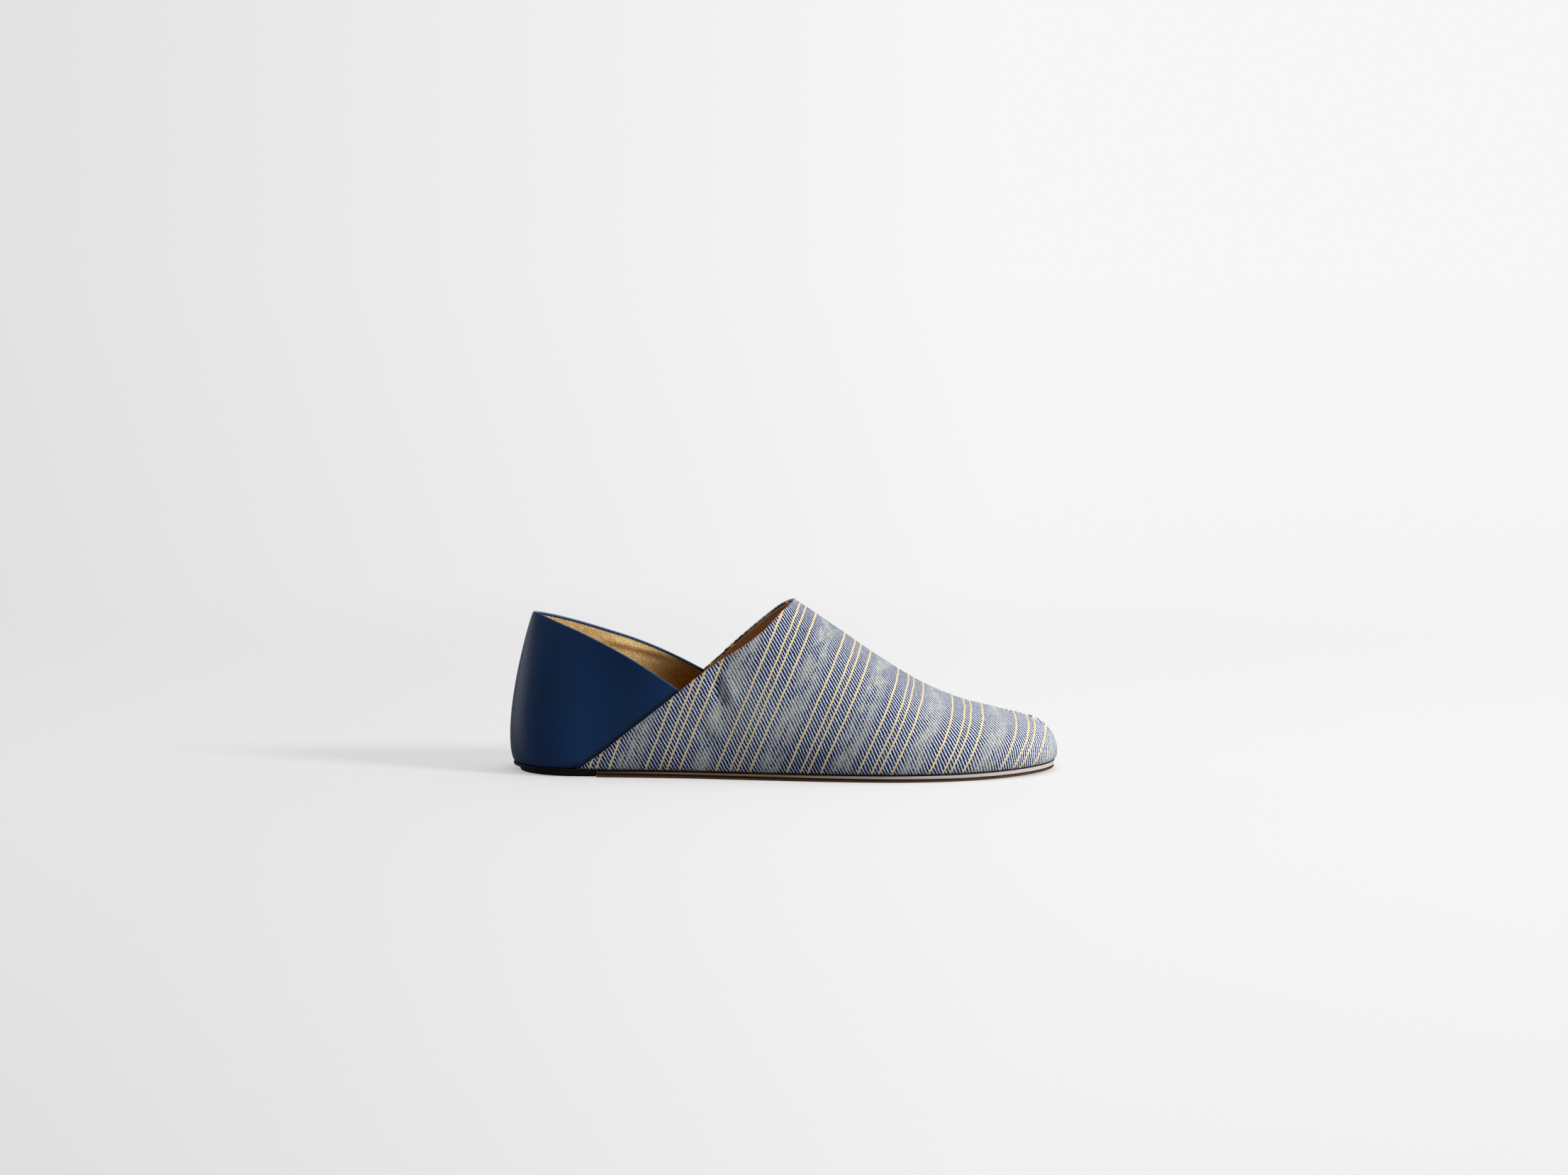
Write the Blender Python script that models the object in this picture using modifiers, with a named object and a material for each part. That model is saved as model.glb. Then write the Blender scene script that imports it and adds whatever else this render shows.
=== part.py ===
"""Right-foot slipper: a leather upper with a high heel quarter, a cloth vamp and a thin layered sole.

Every piece comes from one feather line, the plan outline where the upper meets the sole, and from
one wall function that carries that line up to the collar and to the ridge over the foot.
X runs from heel to toe, the outer side of the foot is at -Y, and the sizes are in millimetres.
"""

import bmesh
import bpy
import numpy as np

MM = 0.001
LATERAL = -1
MEDIAL = 1
SIDES = (LATERAL, MEDIAL)

# Clearance between pieces that meet, and the distance under which points of one piece are joined
FIT_GAP = 0.3
WELD = 0.05

# Feather line
FOOT_LENGTH = 259.4
HEEL_ROUND = 32.0
TOE_ROUND = {LATERAL: 84.0, MEDIAL: 62.0}
TOE_SWING = 4.0
SWING_START = 130.0
HALF_BREADTHS = {
    "columns": ("x", "lateral", "medial"),
    "rows": (
        (0.0, 31.0, 31.0),
        (32.0, 31.0, 30.5),
        (60.0, 32.5, 29.0),
        (90.0, 35.5, 27.0),
        (120.0, 40.0, 29.5),
        (150.0, 44.5, 37.0),
        (178.0, 47.0, 43.0),
        (205.0, 47.5, 44.0),
        (260.0, 47.5, 43.0),
    ),
}

# Underside: heel and ball stand flat, the waist arches and the toe springs
ARCH_START = 46.0
ARCH_END = 164.0
ARCH_HEIGHT = {LATERAL: 0.7, MEDIAL: 3.0}
ARCH_SPAN = 76.0
SPRING_START = 206.0
TOE_SPRING = 1.4

# Sole layers
SOLE_HEIGHT = 3.0
RAND_THICKNESS = {"columns": ("x", "depth"), "rows": ((0.0, 1.4), (90.0, 1.2), (240.0, 0.8))}
RAND_OFFSET = 1.3
RAND_ROUND = 0.4
OUTSOLE_OFFSET = 0.9
OUTSOLE_BEVEL = 0.9
HEEL_PIECE_FRONT = 40.5
HEEL_PIECE_INSET = 1.8
HEEL_PIECE_BEVEL = 1.8
BREAST_GAP = 0.7
INSOLE_INSET = 2.0
INSOLE_THICKNESS = 1.6

# Walls
WALL_THICKNESS = 1.6
VAMP_THICKNESS = 0.9
FEATHER_HEIGHT = SOLE_HEIGHT + FIT_GAP

# Crest that the walls aim at: a folded V over the heel whose sides join again behind the throat,
# then one line over the instep, which is the ridge of the vamp from the throat to the toe
CREST_HEEL = 8.9
CREST_TOE = 246.5
CREST_JOIN = 100.0
THROAT = 134.0
FOLD_SPREAD = 0.45
FOLD_ROUND = 11.0
JOIN_SPREAD = 0.9
JOIN_ROUND = 20.0
JOIN_BLEND = 4
CREST_HEIGHTS = {
    "columns": ("x", "height"),
    "rows": (
        (8.9, 75.9),
        (40.0, 79.5),
        (75.0, 90.0),
        (104.0, 95.0),
        (120.0, 89.6),
        (134.0, 80.8),
        (156.0, 65.9),
        (176.0, 52.1),
        (197.0, 39.6),
        (214.0, 32.5),
        (230.0, 28.4),
        (246.5, 24.5),
    ),
}

# Wall sections: how round each one arches, and how far it swells out past the feather line
SECTIONS = {
    "columns": ("x", "dome", "lateral", "medial"),
    "rows": (
        (0.0, 0.0, 6.0, 6.0),
        (30.0, 0.0, 3.6, 3.6),
        (60.0, 0.0, 3.2, 4.4),
        (84.0, 0.6, 3.2, 6.6),
        (108.0, 1.0, 2.6, 7.0),
        (150.0, 1.0, 2.2, 3.4),
        (200.0, 1.0, 2.2, 2.2),
        (260.0, 1.0, 1.8, 1.8),
    ),
}
SWELL_SCALE = 2.28
SWELL_FOOT = 0.5
SWELL_HEAD = 0.7

# Collar: a bowed rim over the quarter and a straight topline from each notch up to the throat
RIM_TOP = 75.6
NOTCH = {LATERAL: 82.0, MEDIAL: 88.5}
RIM_BOW = {LATERAL: 1.2, MEDIAL: 1.22}
TOPLINE_SLOPE = {LATERAL: 0.77, MEDIAL: 0.815}
VAMP_FOOT_RISE = 0.8
VAMP_TIP_HEIGHT = 2.4

# Mesh steps
QUARTER_STEPS = 16
THROAT_STEPS = 7
VAMP_STEPS = 23
WING_STEPS = 9
WALL_STEPS = 12
FOOT_CROWDING = 1.5
SOLE_STEPS = 34
SLOPE_STEP = 0.5
TURN_STEP = 0.001
BISECTIONS = 40

COLLECTION = "slipper"
FINISHES = {
    # name: colour, roughness
    "outsole_leather": ((0.47, 0.29, 0.16), 0.6),
    "heel_rubber": ((0.02, 0.02, 0.021), 0.7),
    "rand_leather": ((0.018, 0.017, 0.018), 0.5),
    "insole_leather": ((0.50, 0.32, 0.16), 0.75),
    "navy_leather": ((0.013, 0.025, 0.060), 0.45),
    "striped_denim": ((0.045, 0.055, 0.11), 0.9),
}


def side_name(side):
    return "lateral" if side == LATERAL else "medial"


def read(table, column, x):
    """Value of one column of a table at x, on a smooth curve through its rows."""
    rows = np.array(table["rows"])
    places = rows[:, 0]
    values = rows[:, table["columns"].index(column)]
    slopes = np.gradient(values, places)
    x = np.clip(x, places[0], places[-1])
    i = np.clip(np.searchsorted(places, x) - 1, 0, len(places) - 2)
    span = places[i + 1] - places[i]
    t = (x - places[i]) / span
    ends = values[i] * (1 + 2 * t) * (1 - t) ** 2 + values[i + 1] * (3 - 2 * t) * t**2
    return ends + span * t * (1 - t) * (slopes[i] * (1 - t) - slopes[i + 1] * t)


def along(turn, start, end):
    """Place from start to end for a turn from 0 at the heel to pi at the toe, close-set at both."""
    return start + (end - start) * (1 - np.cos(turn)) / 2


def turn_at(place, start, end):
    return np.arccos(1 - 2 * (place - start) / (end - start))


def axis(x):
    """Sideways place of the foot's axis, which swings to the inner side towards the toe."""
    return TOE_SWING * np.clip((x - SWING_START) / (FOOT_LENGTH - SWING_START), 0, 1) ** 2


def plan_point(turn, side):
    """Point of the feather line. Past either end it carries on round to the other side."""
    x = along(turn, 0, FOOT_LENGTH)
    toe_start = FOOT_LENGTH - TOE_ROUND[side]
    heel_round = np.sqrt(1 - np.clip(1 - x / HEEL_ROUND, 0, 1) ** 2)
    toe_round = np.sqrt(1 - np.clip((x - toe_start) / TOE_ROUND[side], 0, 1) ** 2)
    breadth = read(HALF_BREADTHS, side_name(side), x) * heel_round * toe_round
    across = np.where((turn < 0) | (turn > np.pi), -side, side)
    return np.stack([x, axis(x) + across * breadth], -1)


def feather(turn, side, offset=0.0):
    """Feather line moved outwards by an offset, and its outward directions."""
    tangent = plan_point(turn + TURN_STEP, side) - plan_point(turn - TURN_STEP, side)
    outward = side * np.stack([-tangent[..., 1], tangent[..., 0]], -1)
    outward = outward / np.linalg.norm(outward, axis=-1, keepdims=True)
    return plan_point(turn, side) + offset * outward, outward


def ground(plan):
    """Height of the sole's underside over the floor."""
    x = plan[..., 0]
    inward = np.clip(0.5 + plan[..., 1] / ARCH_SPAN, 0, 1)
    height = ARCH_HEIGHT[LATERAL] + (ARCH_HEIGHT[MEDIAL] - ARCH_HEIGHT[LATERAL]) * inward
    arch = np.sin(np.pi * np.clip((x - ARCH_START) / (ARCH_END - ARCH_START), 0, 1)) ** 2
    spring = np.clip((x - SPRING_START) / (FOOT_LENGTH - SPRING_START), 0, 1) ** 2
    return height * arch + TOE_SPRING * spring


def crest_height(x):
    return read(CREST_HEIGHTS, "height", x)


def crest(turn):
    """Place, half breadth, height and slope of the line that the walls aim at."""
    x = along(turn, CREST_HEEL, CREST_TOE)
    back = np.maximum(x - CREST_HEEL, 0)
    front = np.maximum(CREST_JOIN - x, 0)
    fold = FOLD_SPREAD * np.sqrt(back * (back + 2 * FOLD_ROUND))
    join = JOIN_SPREAD * np.sqrt(front * (front + 2 * JOIN_ROUND))
    half = fold * join / (fold**JOIN_BLEND + join**JOIN_BLEND) ** (1 / JOIN_BLEND)
    slope = (crest_height(x + SLOPE_STEP) - crest_height(x - SLOPE_STEP)) / (2 * SLOPE_STEP)
    return x, half, crest_height(x), slope


def wall(turn, side, rise):
    """Point of the upper's outside, for a rise from 0 at the feather line to 1 at the crest."""
    foot, outward = feather(turn, side)
    foot_height = ground(foot) + FEATHER_HEIGHT
    top_x, top_half, top_height, top_slope = crest(turn)
    top = np.stack([top_x, axis(top_x) + side * top_half], -1)
    dome = read(SECTIONS, "dome", foot[..., 0])
    swell = read(SECTIONS, side_name(side), foot[..., 0]) * SWELL_SCALE
    swell = swell * rise**SWELL_FOOT * (1 - rise) ** SWELL_HEAD
    inset = (1 - dome) * rise + dome * (1 - np.sqrt(1 - rise**2))
    plan = foot + (top - foot) * inset[..., None] + outward * swell[..., None]
    lean = top_slope * (top_x - foot[..., 0]) * (1 - inset) * rise
    height = foot_height + (top_height - foot_height) * rise - lean
    return np.concatenate([plan, height[..., None]], -1)


def topline(x, side):
    """Straight line of the vamp's rear edge, down from the throat."""
    return crest_height(THROAT) - TOPLINE_SLOPE[side] * (THROAT - x)


def collar(x, side):
    """Edge of the opening: the quarter's rim back to the heel, the topline in front of the notch."""
    reach = np.clip((x - CREST_HEEL) / (NOTCH[side] - CREST_HEEL), 0, None)
    rim = RIM_TOP - (RIM_TOP - topline(NOTCH[side], side)) * reach ** RIM_BOW[side]
    return np.maximum(rim, topline(x, side))


def cut_rise(turn, side, line):
    """Rise at which the wall meets a line seen from the side, or 1 where it stays under the line."""
    low = np.zeros_like(turn)
    high = np.ones_like(turn)
    for _ in range(BISECTIONS):
        middle = (low + high) / 2
        point = wall(turn, side, middle)
        under = point[..., 2] < line(point[..., 0], side)
        low = np.where(under, middle, low)
        high = np.where(under, high, middle)
    return high


def notch_turn(side):
    """Turn whose wall ends at the notch, where rim and topline cross."""
    low = 0.0
    high = throat_turn()
    for _ in range(BISECTIONS):
        middle = np.array((low + high) / 2)
        end = wall(middle, side, cut_rise(middle, side, collar))
        if end[0] < NOTCH[side]:
            low = float(middle)
        else:
            high = float(middle)
    return high


def throat_turn():
    return float(turn_at(THROAT, CREST_HEEL, CREST_TOE))


def front_turns(notch):
    """Turns from the notch to the toe, closer set towards the throat, where the topline is round."""
    waist = np.linspace(1, 0, THROAT_STEPS, endpoint=False) ** 2
    front = np.linspace(throat_turn(), np.pi, VAMP_STEPS)
    return np.concatenate([throat_turn() - (throat_turn() - notch) * waist, front])


def vamp_tip_turn(side):
    """Turn at which the vamp's rear edge comes down to the feather line."""
    drop = crest_height(THROAT) - FEATHER_HEIGHT - VAMP_TIP_HEIGHT
    return float(turn_at(THROAT - drop / TOPLINE_SLOPE[side], 0, FOOT_LENGTH))


def wall_grid(turns, side, line, foot_rise=0.0):
    """Grid of wall points, one row for each turn, from just over the feather line up to a line."""
    climb = np.sin(np.pi / 2 * np.linspace(0, 1, WALL_STEPS + 1) ** FOOT_CROWDING)
    start = foot_rise / (crest(turns)[2] - FEATHER_HEIGHT)
    top = cut_rise(turns, side, line)
    rise = start[:, None] + (top - start)[:, None] * climb[None, :]
    return wall(turns[:, None] + 0 * rise, side, rise)


def add_grid(mesh, points, flip):
    """Adds a grid of points to a mesh as rows of quads."""
    verts = [[mesh.verts.new(point * MM) for point in row] for row in points]
    for row, after in zip(verts, verts[1:]):
        for j in range(len(row) - 1):
            face = [row[j], after[j], after[j + 1], row[j + 1]]
            mesh.faces.new(face[::-1] if flip else face)


def add_object(name, mesh, finish):
    """Makes an object of a finished mesh, with its material, on the slipper's own frame."""
    data = bpy.data.meshes.new(name)
    mesh.to_mesh(data)
    mesh.free()
    data.materials.append(bpy.data.materials[finish])
    data.shade_smooth()
    piece = bpy.data.objects.new(name, data)
    bpy.data.collections[COLLECTION].objects.link(piece)
    piece.parent = bpy.data.objects[COLLECTION]
    return piece


def make_shell(name, finish, grids):
    """Open shell from one wall grid a side, zipped together where the two sides meet."""
    mesh = bmesh.new()
    for side in SIDES:
        add_grid(mesh, grids[side], side == MEDIAL)
    bmesh.ops.remove_doubles(mesh, verts=mesh.verts, dist=WELD * MM)
    return add_object(name, mesh, finish)


def thicken(piece, thickness, direction):
    solidify = piece.modifiers.new("thickness", "SOLIDIFY")
    solidify.thickness = thickness * MM
    solidify.offset = direction
    solidify.use_even_offset = True
    solidify.use_quality_normals = True


def sole_ring(turns, offset, level):
    """The two sides of one ring of a sole layer, at a level over the underside."""
    ring = []
    for side in SIDES:
        plan, _ = feather(turns, side, offset)
        height = ground(plan) + level(plan[..., 0])
        ring.append(np.concatenate([plan, height[..., None]], -1))
    return ring


def make_layer(name, finish, turns, rings):
    """Closed sole layer through rings of (offset, level), listed from its underside up."""
    mesh = bmesh.new()
    sides = [sole_ring(turns, offset, level) for offset, level in rings]
    count = len(turns)
    loops = []
    for lateral, medial in sides:
        points = np.concatenate([lateral, medial[::-1]])
        loops.append([mesh.verts.new(point * MM) for point in points])
    for lower, upper in zip(loops, loops[1:]):
        for k in range(2 * count):
            after = (k + 1) % (2 * count)
            mesh.faces.new([lower[k], lower[after], upper[after], upper[k]])
    for loop in (loops[0], loops[-1]):
        for k in range(count - 1):
            mesh.faces.new([loop[k], loop[k + 1], loop[-k - 2], loop[-k - 1]])
    bmesh.ops.remove_doubles(mesh, verts=mesh.verts, dist=WELD * MM)
    bmesh.ops.recalc_face_normals(mesh, faces=mesh.faces)
    return add_object(name, mesh, finish)


def rand_under(x):
    return SOLE_HEIGHT - read(RAND_THICKNESS, "depth", x)


def make_outsole():
    """Leather outsole with a bevelled lower edge, from the toe back to the heel piece."""
    breast = float(turn_at(HEEL_PIECE_FRONT + BREAST_GAP, 0, FOOT_LENGTH))
    rings = (
        (OUTSOLE_OFFSET - OUTSOLE_BEVEL, lambda x: 0 * x),
        (OUTSOLE_OFFSET, lambda x: 0 * x + OUTSOLE_BEVEL),
        (OUTSOLE_OFFSET, lambda x: rand_under(x) - FIT_GAP),
    )
    make_layer("outsole", "outsole_leather", np.linspace(breast, np.pi, SOLE_STEPS), rings)


def make_heel_piece():
    """Rubber heel piece level with the outsole, set in from the edge with a slanting side."""
    front = float(turn_at(HEEL_PIECE_FRONT, 0, FOOT_LENGTH))
    rings = (
        (-HEEL_PIECE_INSET - HEEL_PIECE_BEVEL, lambda x: 0 * x),
        (-HEEL_PIECE_INSET, lambda x: rand_under(x) - FIT_GAP),
    )
    make_layer("heel_piece", "heel_rubber", np.linspace(0, front, SOLE_STEPS // 2), rings)


def make_rand():
    """Thin dark layer with a rounded edge, thicker at the heel than at the toe."""
    rings = (
        (RAND_OFFSET - RAND_ROUND, rand_under),
        (RAND_OFFSET, lambda x: (rand_under(x) + SOLE_HEIGHT) / 2),
        (RAND_OFFSET - RAND_ROUND, lambda x: 0 * x + SOLE_HEIGHT),
    )
    make_layer("rand", "rand_leather", np.linspace(0, np.pi, SOLE_STEPS), rings)


def make_insole():
    """Sock lining that lies on the rand, inside the foot of the walls."""
    rings = (
        (-INSOLE_INSET, lambda x: 0 * x + FEATHER_HEIGHT),
        (-INSOLE_INSET, lambda x: 0 * x + FEATHER_HEIGHT + INSOLE_THICKNESS),
    )
    make_layer("insole", "insole_leather", np.linspace(0, np.pi, SOLE_STEPS), rings)


def make_upper():
    """One hollow shell from heel to toe, open at the collar and along the feather line."""
    grids = {}
    for side in SIDES:
        notch = notch_turn(side)
        quarter = np.linspace(0, notch, QUARTER_STEPS, endpoint=False)
        turns = np.concatenate([quarter, front_turns(notch)])
        grids[side] = wall_grid(turns, side, collar)
    thicken(make_shell("upper", "navy_leather", grids), WALL_THICKNESS, -1)


def make_vamp():
    """Cloth vamp between two larger forms of the wall, from its rear edge to the toe."""
    grids = {}
    for side in SIDES:
        notch = notch_turn(side)
        wing = np.linspace(vamp_tip_turn(side), notch, WING_STEPS, endpoint=False)
        turns = np.concatenate([wing, front_turns(notch)])
        grids[side] = wall_grid(turns, side, topline, VAMP_FOOT_RISE)
    vamp = make_shell("vamp", "striped_denim", grids)
    lift = vamp.modifiers.new("lift", "DISPLACE")
    lift.strength = FIT_GAP * MM
    lift.mid_level = 0
    thicken(vamp, VAMP_THICKNESS, 1)


def make_finishes():
    for name, (colour, roughness) in FINISHES.items():
        material = bpy.data.materials.new(name)
        material.use_nodes = True
        shader = material.node_tree.nodes["Principled BSDF"]
        shader.inputs["Base Color"].default_value = (*colour, 1)
        shader.inputs["Roughness"].default_value = roughness
        shader.inputs["Metallic"].default_value = 0


def stand_over_origin():
    """Puts the middle of the slipper's box over the origin, with its sole on the floor."""
    bpy.context.view_layer.update()
    graph = bpy.context.evaluated_depsgraph_get()
    corners = []
    for piece in bpy.data.collections[COLLECTION].objects:
        if piece.type == "MESH":
            data = piece.evaluated_get(graph).data
            points = np.empty(len(data.vertices) * 3, np.float32)
            data.vertices.foreach_get("co", points)
            points = points.reshape(-1, 3)
            corners += [points.min(0), points.max(0)]
    low = np.min(corners, 0)
    high = np.max(corners, 0)
    middle = (low + high) / 2
    bpy.data.objects[COLLECTION].location = (-middle[0], -middle[1], -low[2])


def main():
    for item in list(bpy.data.objects):
        bpy.data.objects.remove(item)
    group = bpy.data.collections.new(COLLECTION)
    bpy.context.scene.collection.children.link(group)
    group.objects.link(bpy.data.objects.new(COLLECTION, None))
    make_finishes()
    make_outsole()
    make_heel_piece()
    make_rand()
    make_insole()
    make_upper()
    make_vamp()
    stand_over_origin()


main()
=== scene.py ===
"""Looks of a right-foot slipper: leather heel quarter, striped cloth vamp and a thin layered sole.

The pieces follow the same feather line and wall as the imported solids, at finer steps. The slipper's own
sizes are in millimetres, with X from heel to toe and the outer side of the foot at -Y.
"""

from functools import partial

import bpy
import numpy as np
from mathutils import Matrix, Vector


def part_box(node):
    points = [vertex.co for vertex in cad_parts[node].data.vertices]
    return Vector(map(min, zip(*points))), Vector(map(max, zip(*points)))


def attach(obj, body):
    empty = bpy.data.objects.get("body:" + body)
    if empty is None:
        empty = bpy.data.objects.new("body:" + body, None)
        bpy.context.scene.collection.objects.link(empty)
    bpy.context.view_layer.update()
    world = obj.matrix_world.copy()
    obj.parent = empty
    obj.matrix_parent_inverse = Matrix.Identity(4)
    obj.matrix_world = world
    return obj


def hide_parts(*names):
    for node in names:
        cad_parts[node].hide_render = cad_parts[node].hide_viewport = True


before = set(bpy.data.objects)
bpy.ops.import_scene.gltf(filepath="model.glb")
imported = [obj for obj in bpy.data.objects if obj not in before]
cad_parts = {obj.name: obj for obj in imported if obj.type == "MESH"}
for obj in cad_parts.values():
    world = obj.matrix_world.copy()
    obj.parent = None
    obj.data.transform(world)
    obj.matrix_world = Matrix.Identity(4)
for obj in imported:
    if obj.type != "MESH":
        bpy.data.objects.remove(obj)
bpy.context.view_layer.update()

bl_info = {
    "name": "Slipper looks",
    "version": (1, 0, 0),
    "blender": (4, 5, 0),
    "location": "3D View > Sidebar > Slipper",
    "description": "Builds the pieces, materials and studio of a slip-on slipper",
    "category": "Object",
}

MM = 0.001
LATERAL = -1
MEDIAL = 1
SIDES = (LATERAL, MEDIAL)
WELD = 0.02
BODY = "root"

# Feather line, underside and sole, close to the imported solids
FOOT_LENGTH = 259.4
HEEL_ROUND = 32.0
TOE_ROUND = {LATERAL: 84.0, MEDIAL: 62.0}
TOE_SWING = 4.0
SWING_START = 130.0
HALF_BREADTHS = {
    "columns": ("x", "lateral", "medial"),
    "rows": (
        (0.0, 31.0, 31.0),
        (32.0, 31.0, 30.5),
        (60.0, 32.5, 29.0),
        (90.0, 35.5, 27.0),
        (120.0, 40.0, 29.5),
        (150.0, 44.5, 37.0),
        (178.0, 47.0, 43.0),
        (205.0, 47.5, 44.0),
        (260.0, 47.5, 43.0),
    ),
}
ARCH_START = 46.0
ARCH_END = 164.0
ARCH_HEIGHT = {LATERAL: 0.0, MEDIAL: 3.0}
ARCH_SPAN = 76.0
SPRING_START = 206.0
TOE_SPRING = 1.4
SOLE_HEIGHT = 3.0
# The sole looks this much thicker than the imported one
SOLE_DROP = 0.9
RAND_THICKNESS = {"columns": ("x", "depth"), "rows": ((0.0, 1.2), (90.0, 0.9), (240.0, 0.65))}
RAND_OFFSET = 1.3
RAND_ROUND = 0.4
OUTSOLE_OFFSET = 0.9
OUTSOLE_BEVEL = 0.4
# Groove between the sole's waxed lower edge and its pale upper edge, painted dark as shade
GROOVE = {
    "columns": ("x", "low", "high"),
    "rows": (
        (40.0, -0.05, 1.35),
        (90.0, -0.05, 1.15),
        (150.0, -0.05, 0.95),
        (210.0, -0.1, 0.75),
        (260.0, -0.15, 0.5),
    ),
}
GROOVE_DEPTH = 0.5
# Pale edge over the groove: share of the way up and place out from the sole's edge
CUT_EDGE = ((0.0, -0.02), (0.4, 0.05), (0.95, -0.05), (1.0, -0.3))
# Shade painted on the pale edge darkens it over this far towards the heel piece, down to this share
CUT_FADE = 35.0
CUT_LEAST = 0.15
HEEL_PIECE_FRONT = 40.5
HEEL_PIECE_INSET = 1.2
HEEL_PIECE_BEVEL = 1.0
BREAST_GAP = 0.7
INSOLE_THICKNESS = 1.6
INSOLE_ROUND = 0.5
INSOLE_DISH = 0.5
FIT_GAP = 0.3
# Height over which a wall's foot comes down by the fit gap to stand on the rand
FIT_REACH = 2.0
FEATHER_HEIGHT = SOLE_HEIGHT + FIT_GAP

# Crest, wall sections and collar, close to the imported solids
CREST_HEEL = 8.9
CREST_TOE = 246.5
CREST_JOIN = 100.0
THROAT = 134.0
FOLD_SPREAD = 0.45
FOLD_ROUND = 11.0
JOIN_SPREAD = 0.9
JOIN_ROUND = 20.0
JOIN_BLEND = 4
CREST_HEIGHTS = {
    "columns": ("x", "height"),
    "rows": (
        (8.9, 75.9),
        (40.0, 79.5),
        (75.0, 90.0),
        (104.0, 95.0),
        (120.0, 89.6),
        (134.0, 80.8),
        (156.0, 65.9),
        (176.0, 52.1),
        (197.0, 39.6),
        (214.0, 32.5),
        (230.0, 28.4),
        (246.5, 24.5),
    ),
}
SECTIONS = {
    "columns": ("x", "dome", "lateral", "medial"),
    "rows": (
        (0.0, 0.0, 5.4, 5.4),
        (30.0, 0.0, 3.6, 3.6),
        (60.0, 0.0, 3.2, 4.4),
        (84.0, 0.6, 3.2, 6.6),
        (108.0, 1.0, 2.6, 7.0),
        (150.0, 1.0, 2.2, 3.4),
        (200.0, 1.0, 2.2, 2.2),
        (260.0, 1.0, 1.8, 1.8),
    ),
}
SWELL_SCALE = 2.28
SWELL_FOOT = 0.5
SWELL_HEAD = 0.7
# The back of the heel is drawn straighter towards the rim
HEEL_DRAWN = 0.35
HEEL_DRAWN_REACH = 20.0
RIM_TOP = 75.6
NOTCH = {LATERAL: 82.0, MEDIAL: 88.5}
RIM_BOW = {LATERAL: 1.2, MEDIAL: 1.22}
# How far the rim bows up further between heel and notch
RIM_LIFT = {
    "columns": ("x", "lateral", "medial"),
    "rows": (
        (8.9, 0.0, 0.0),
        (22.0, 0.15, 0.0),
        (32.0, 0.9, 0.1),
        (42.0, 1.35, 0.3),
        (54.0, 1.7, 0.8),
        (66.0, 1.3, 0.95),
        (78.0, 0.3, 1.0),
        (86.0, 0.0, 0.9),
        (96.0, 0.0, 0.4),
    ),
}
TOPLINE_SLOPE = {LATERAL: 0.77, MEDIAL: 0.815}
VAMP_TIP_HEIGHT = -1.2
# How far the sewn rear edge lies under the straight line
TOPLINE_SAG = {
    "columns": ("x", "lateral", "medial"),
    "rows": (
        (30.5, -2.4, -2.4),
        (33.5, -0.3, -0.3),
        (36.5, -0.2, -0.1),
        (40.0, 0.2, 0.0),
        (55.0, 0.0, 0.0),
        (75.0, -0.4, 0.2),
        (90.0, -1.0, 0.2),
        (97.0, -0.5, -0.3),
        (106.0, 0.9, -1.0),
        (115.0, 1.9, -1.6),
        (122.0, 1.7, -1.9),
        (128.0, 0.2, -1.8),
        (134.0, 0.0, 0.0),
    ),
}

# Layers of the upper, as places outwards from the wall
VAMP_FACE = 1.2
# The cloth's face thins to this part of itself at the very foot, the shorter the higher the power
VAMP_FOOT = 0.5
VAMP_FOOT_POWER = 24
VAMP_BACK = 0.1
VAMP_LINING_FACE = -1.0
VAMP_LINING_TOP = -0.7
EDGE_BACK = -0.3
QUARTER_BACK = -0.9
LINING_FACE = -1.5
RIM_FACE = -1.35
# Where a highlight is painted on the rim's fold, in degrees from its outer face
CROWN_ANGLE = {LATERAL: 97, MEDIAL: 112}
CROWN_SPREAD = 17
# Farthest distance from the vamp's rear edge that the seam mark tells, which paints shade along the seam
SEAM_REACH = 20
# Where shade is painted on the lining: from this place at this height, over this far, leaning forward
LINING_SHADE_START = 48.0
LINING_SHADE_HEIGHT = 50.0
LINING_SHADE_REACH = 40.0
LINING_SHADE_LEAN = 0.45
QUARTER_OVERLAP = 10.0
LINING_OVERLAP = 16.0
LEAST_DOWN = -0.15
# Walls lower than this are thinner
FULL_TALL = 10.0
# How far a face stops short of its round edge, and layers that lie on each other are apart
ROUND_ROOM = 0.3
LAYER_GAP = 0.05

# Turned rear edge of the cloth: how far it reaches down the face and how it is tucked in there, how proud
# it stands, how deep its ribs are, and over how far it closes at both ends
EDGE_REACH = 1.9
EDGE_TUCK = 0.12
EDGE_PROUD = 0.03
EDGE_RIB = 0.1
EDGE_CLOSE = 3.0
# How far before the notch the turned-in band begins, over how far it opens, and how much shade is painted
# inside it
BAND_LEAD = 1.0
BAND_OPENS = 6.0
BAND_SHADE = 1.1
BAND_SHADE_START = 0.3
BAND_SHADE_FADE = 0.3

# Rim stitches: share of the pitch that shows, how they narrow and dip at their ends in parts of the thread,
# and where they lie on the turned band
STITCH_SHOWN = 0.78
STITCH_NARROW = 0.45
STITCH_DIP = 0.7
STITCH_PLACE = 0.62
STITCH_OUT = 0.1

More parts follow.
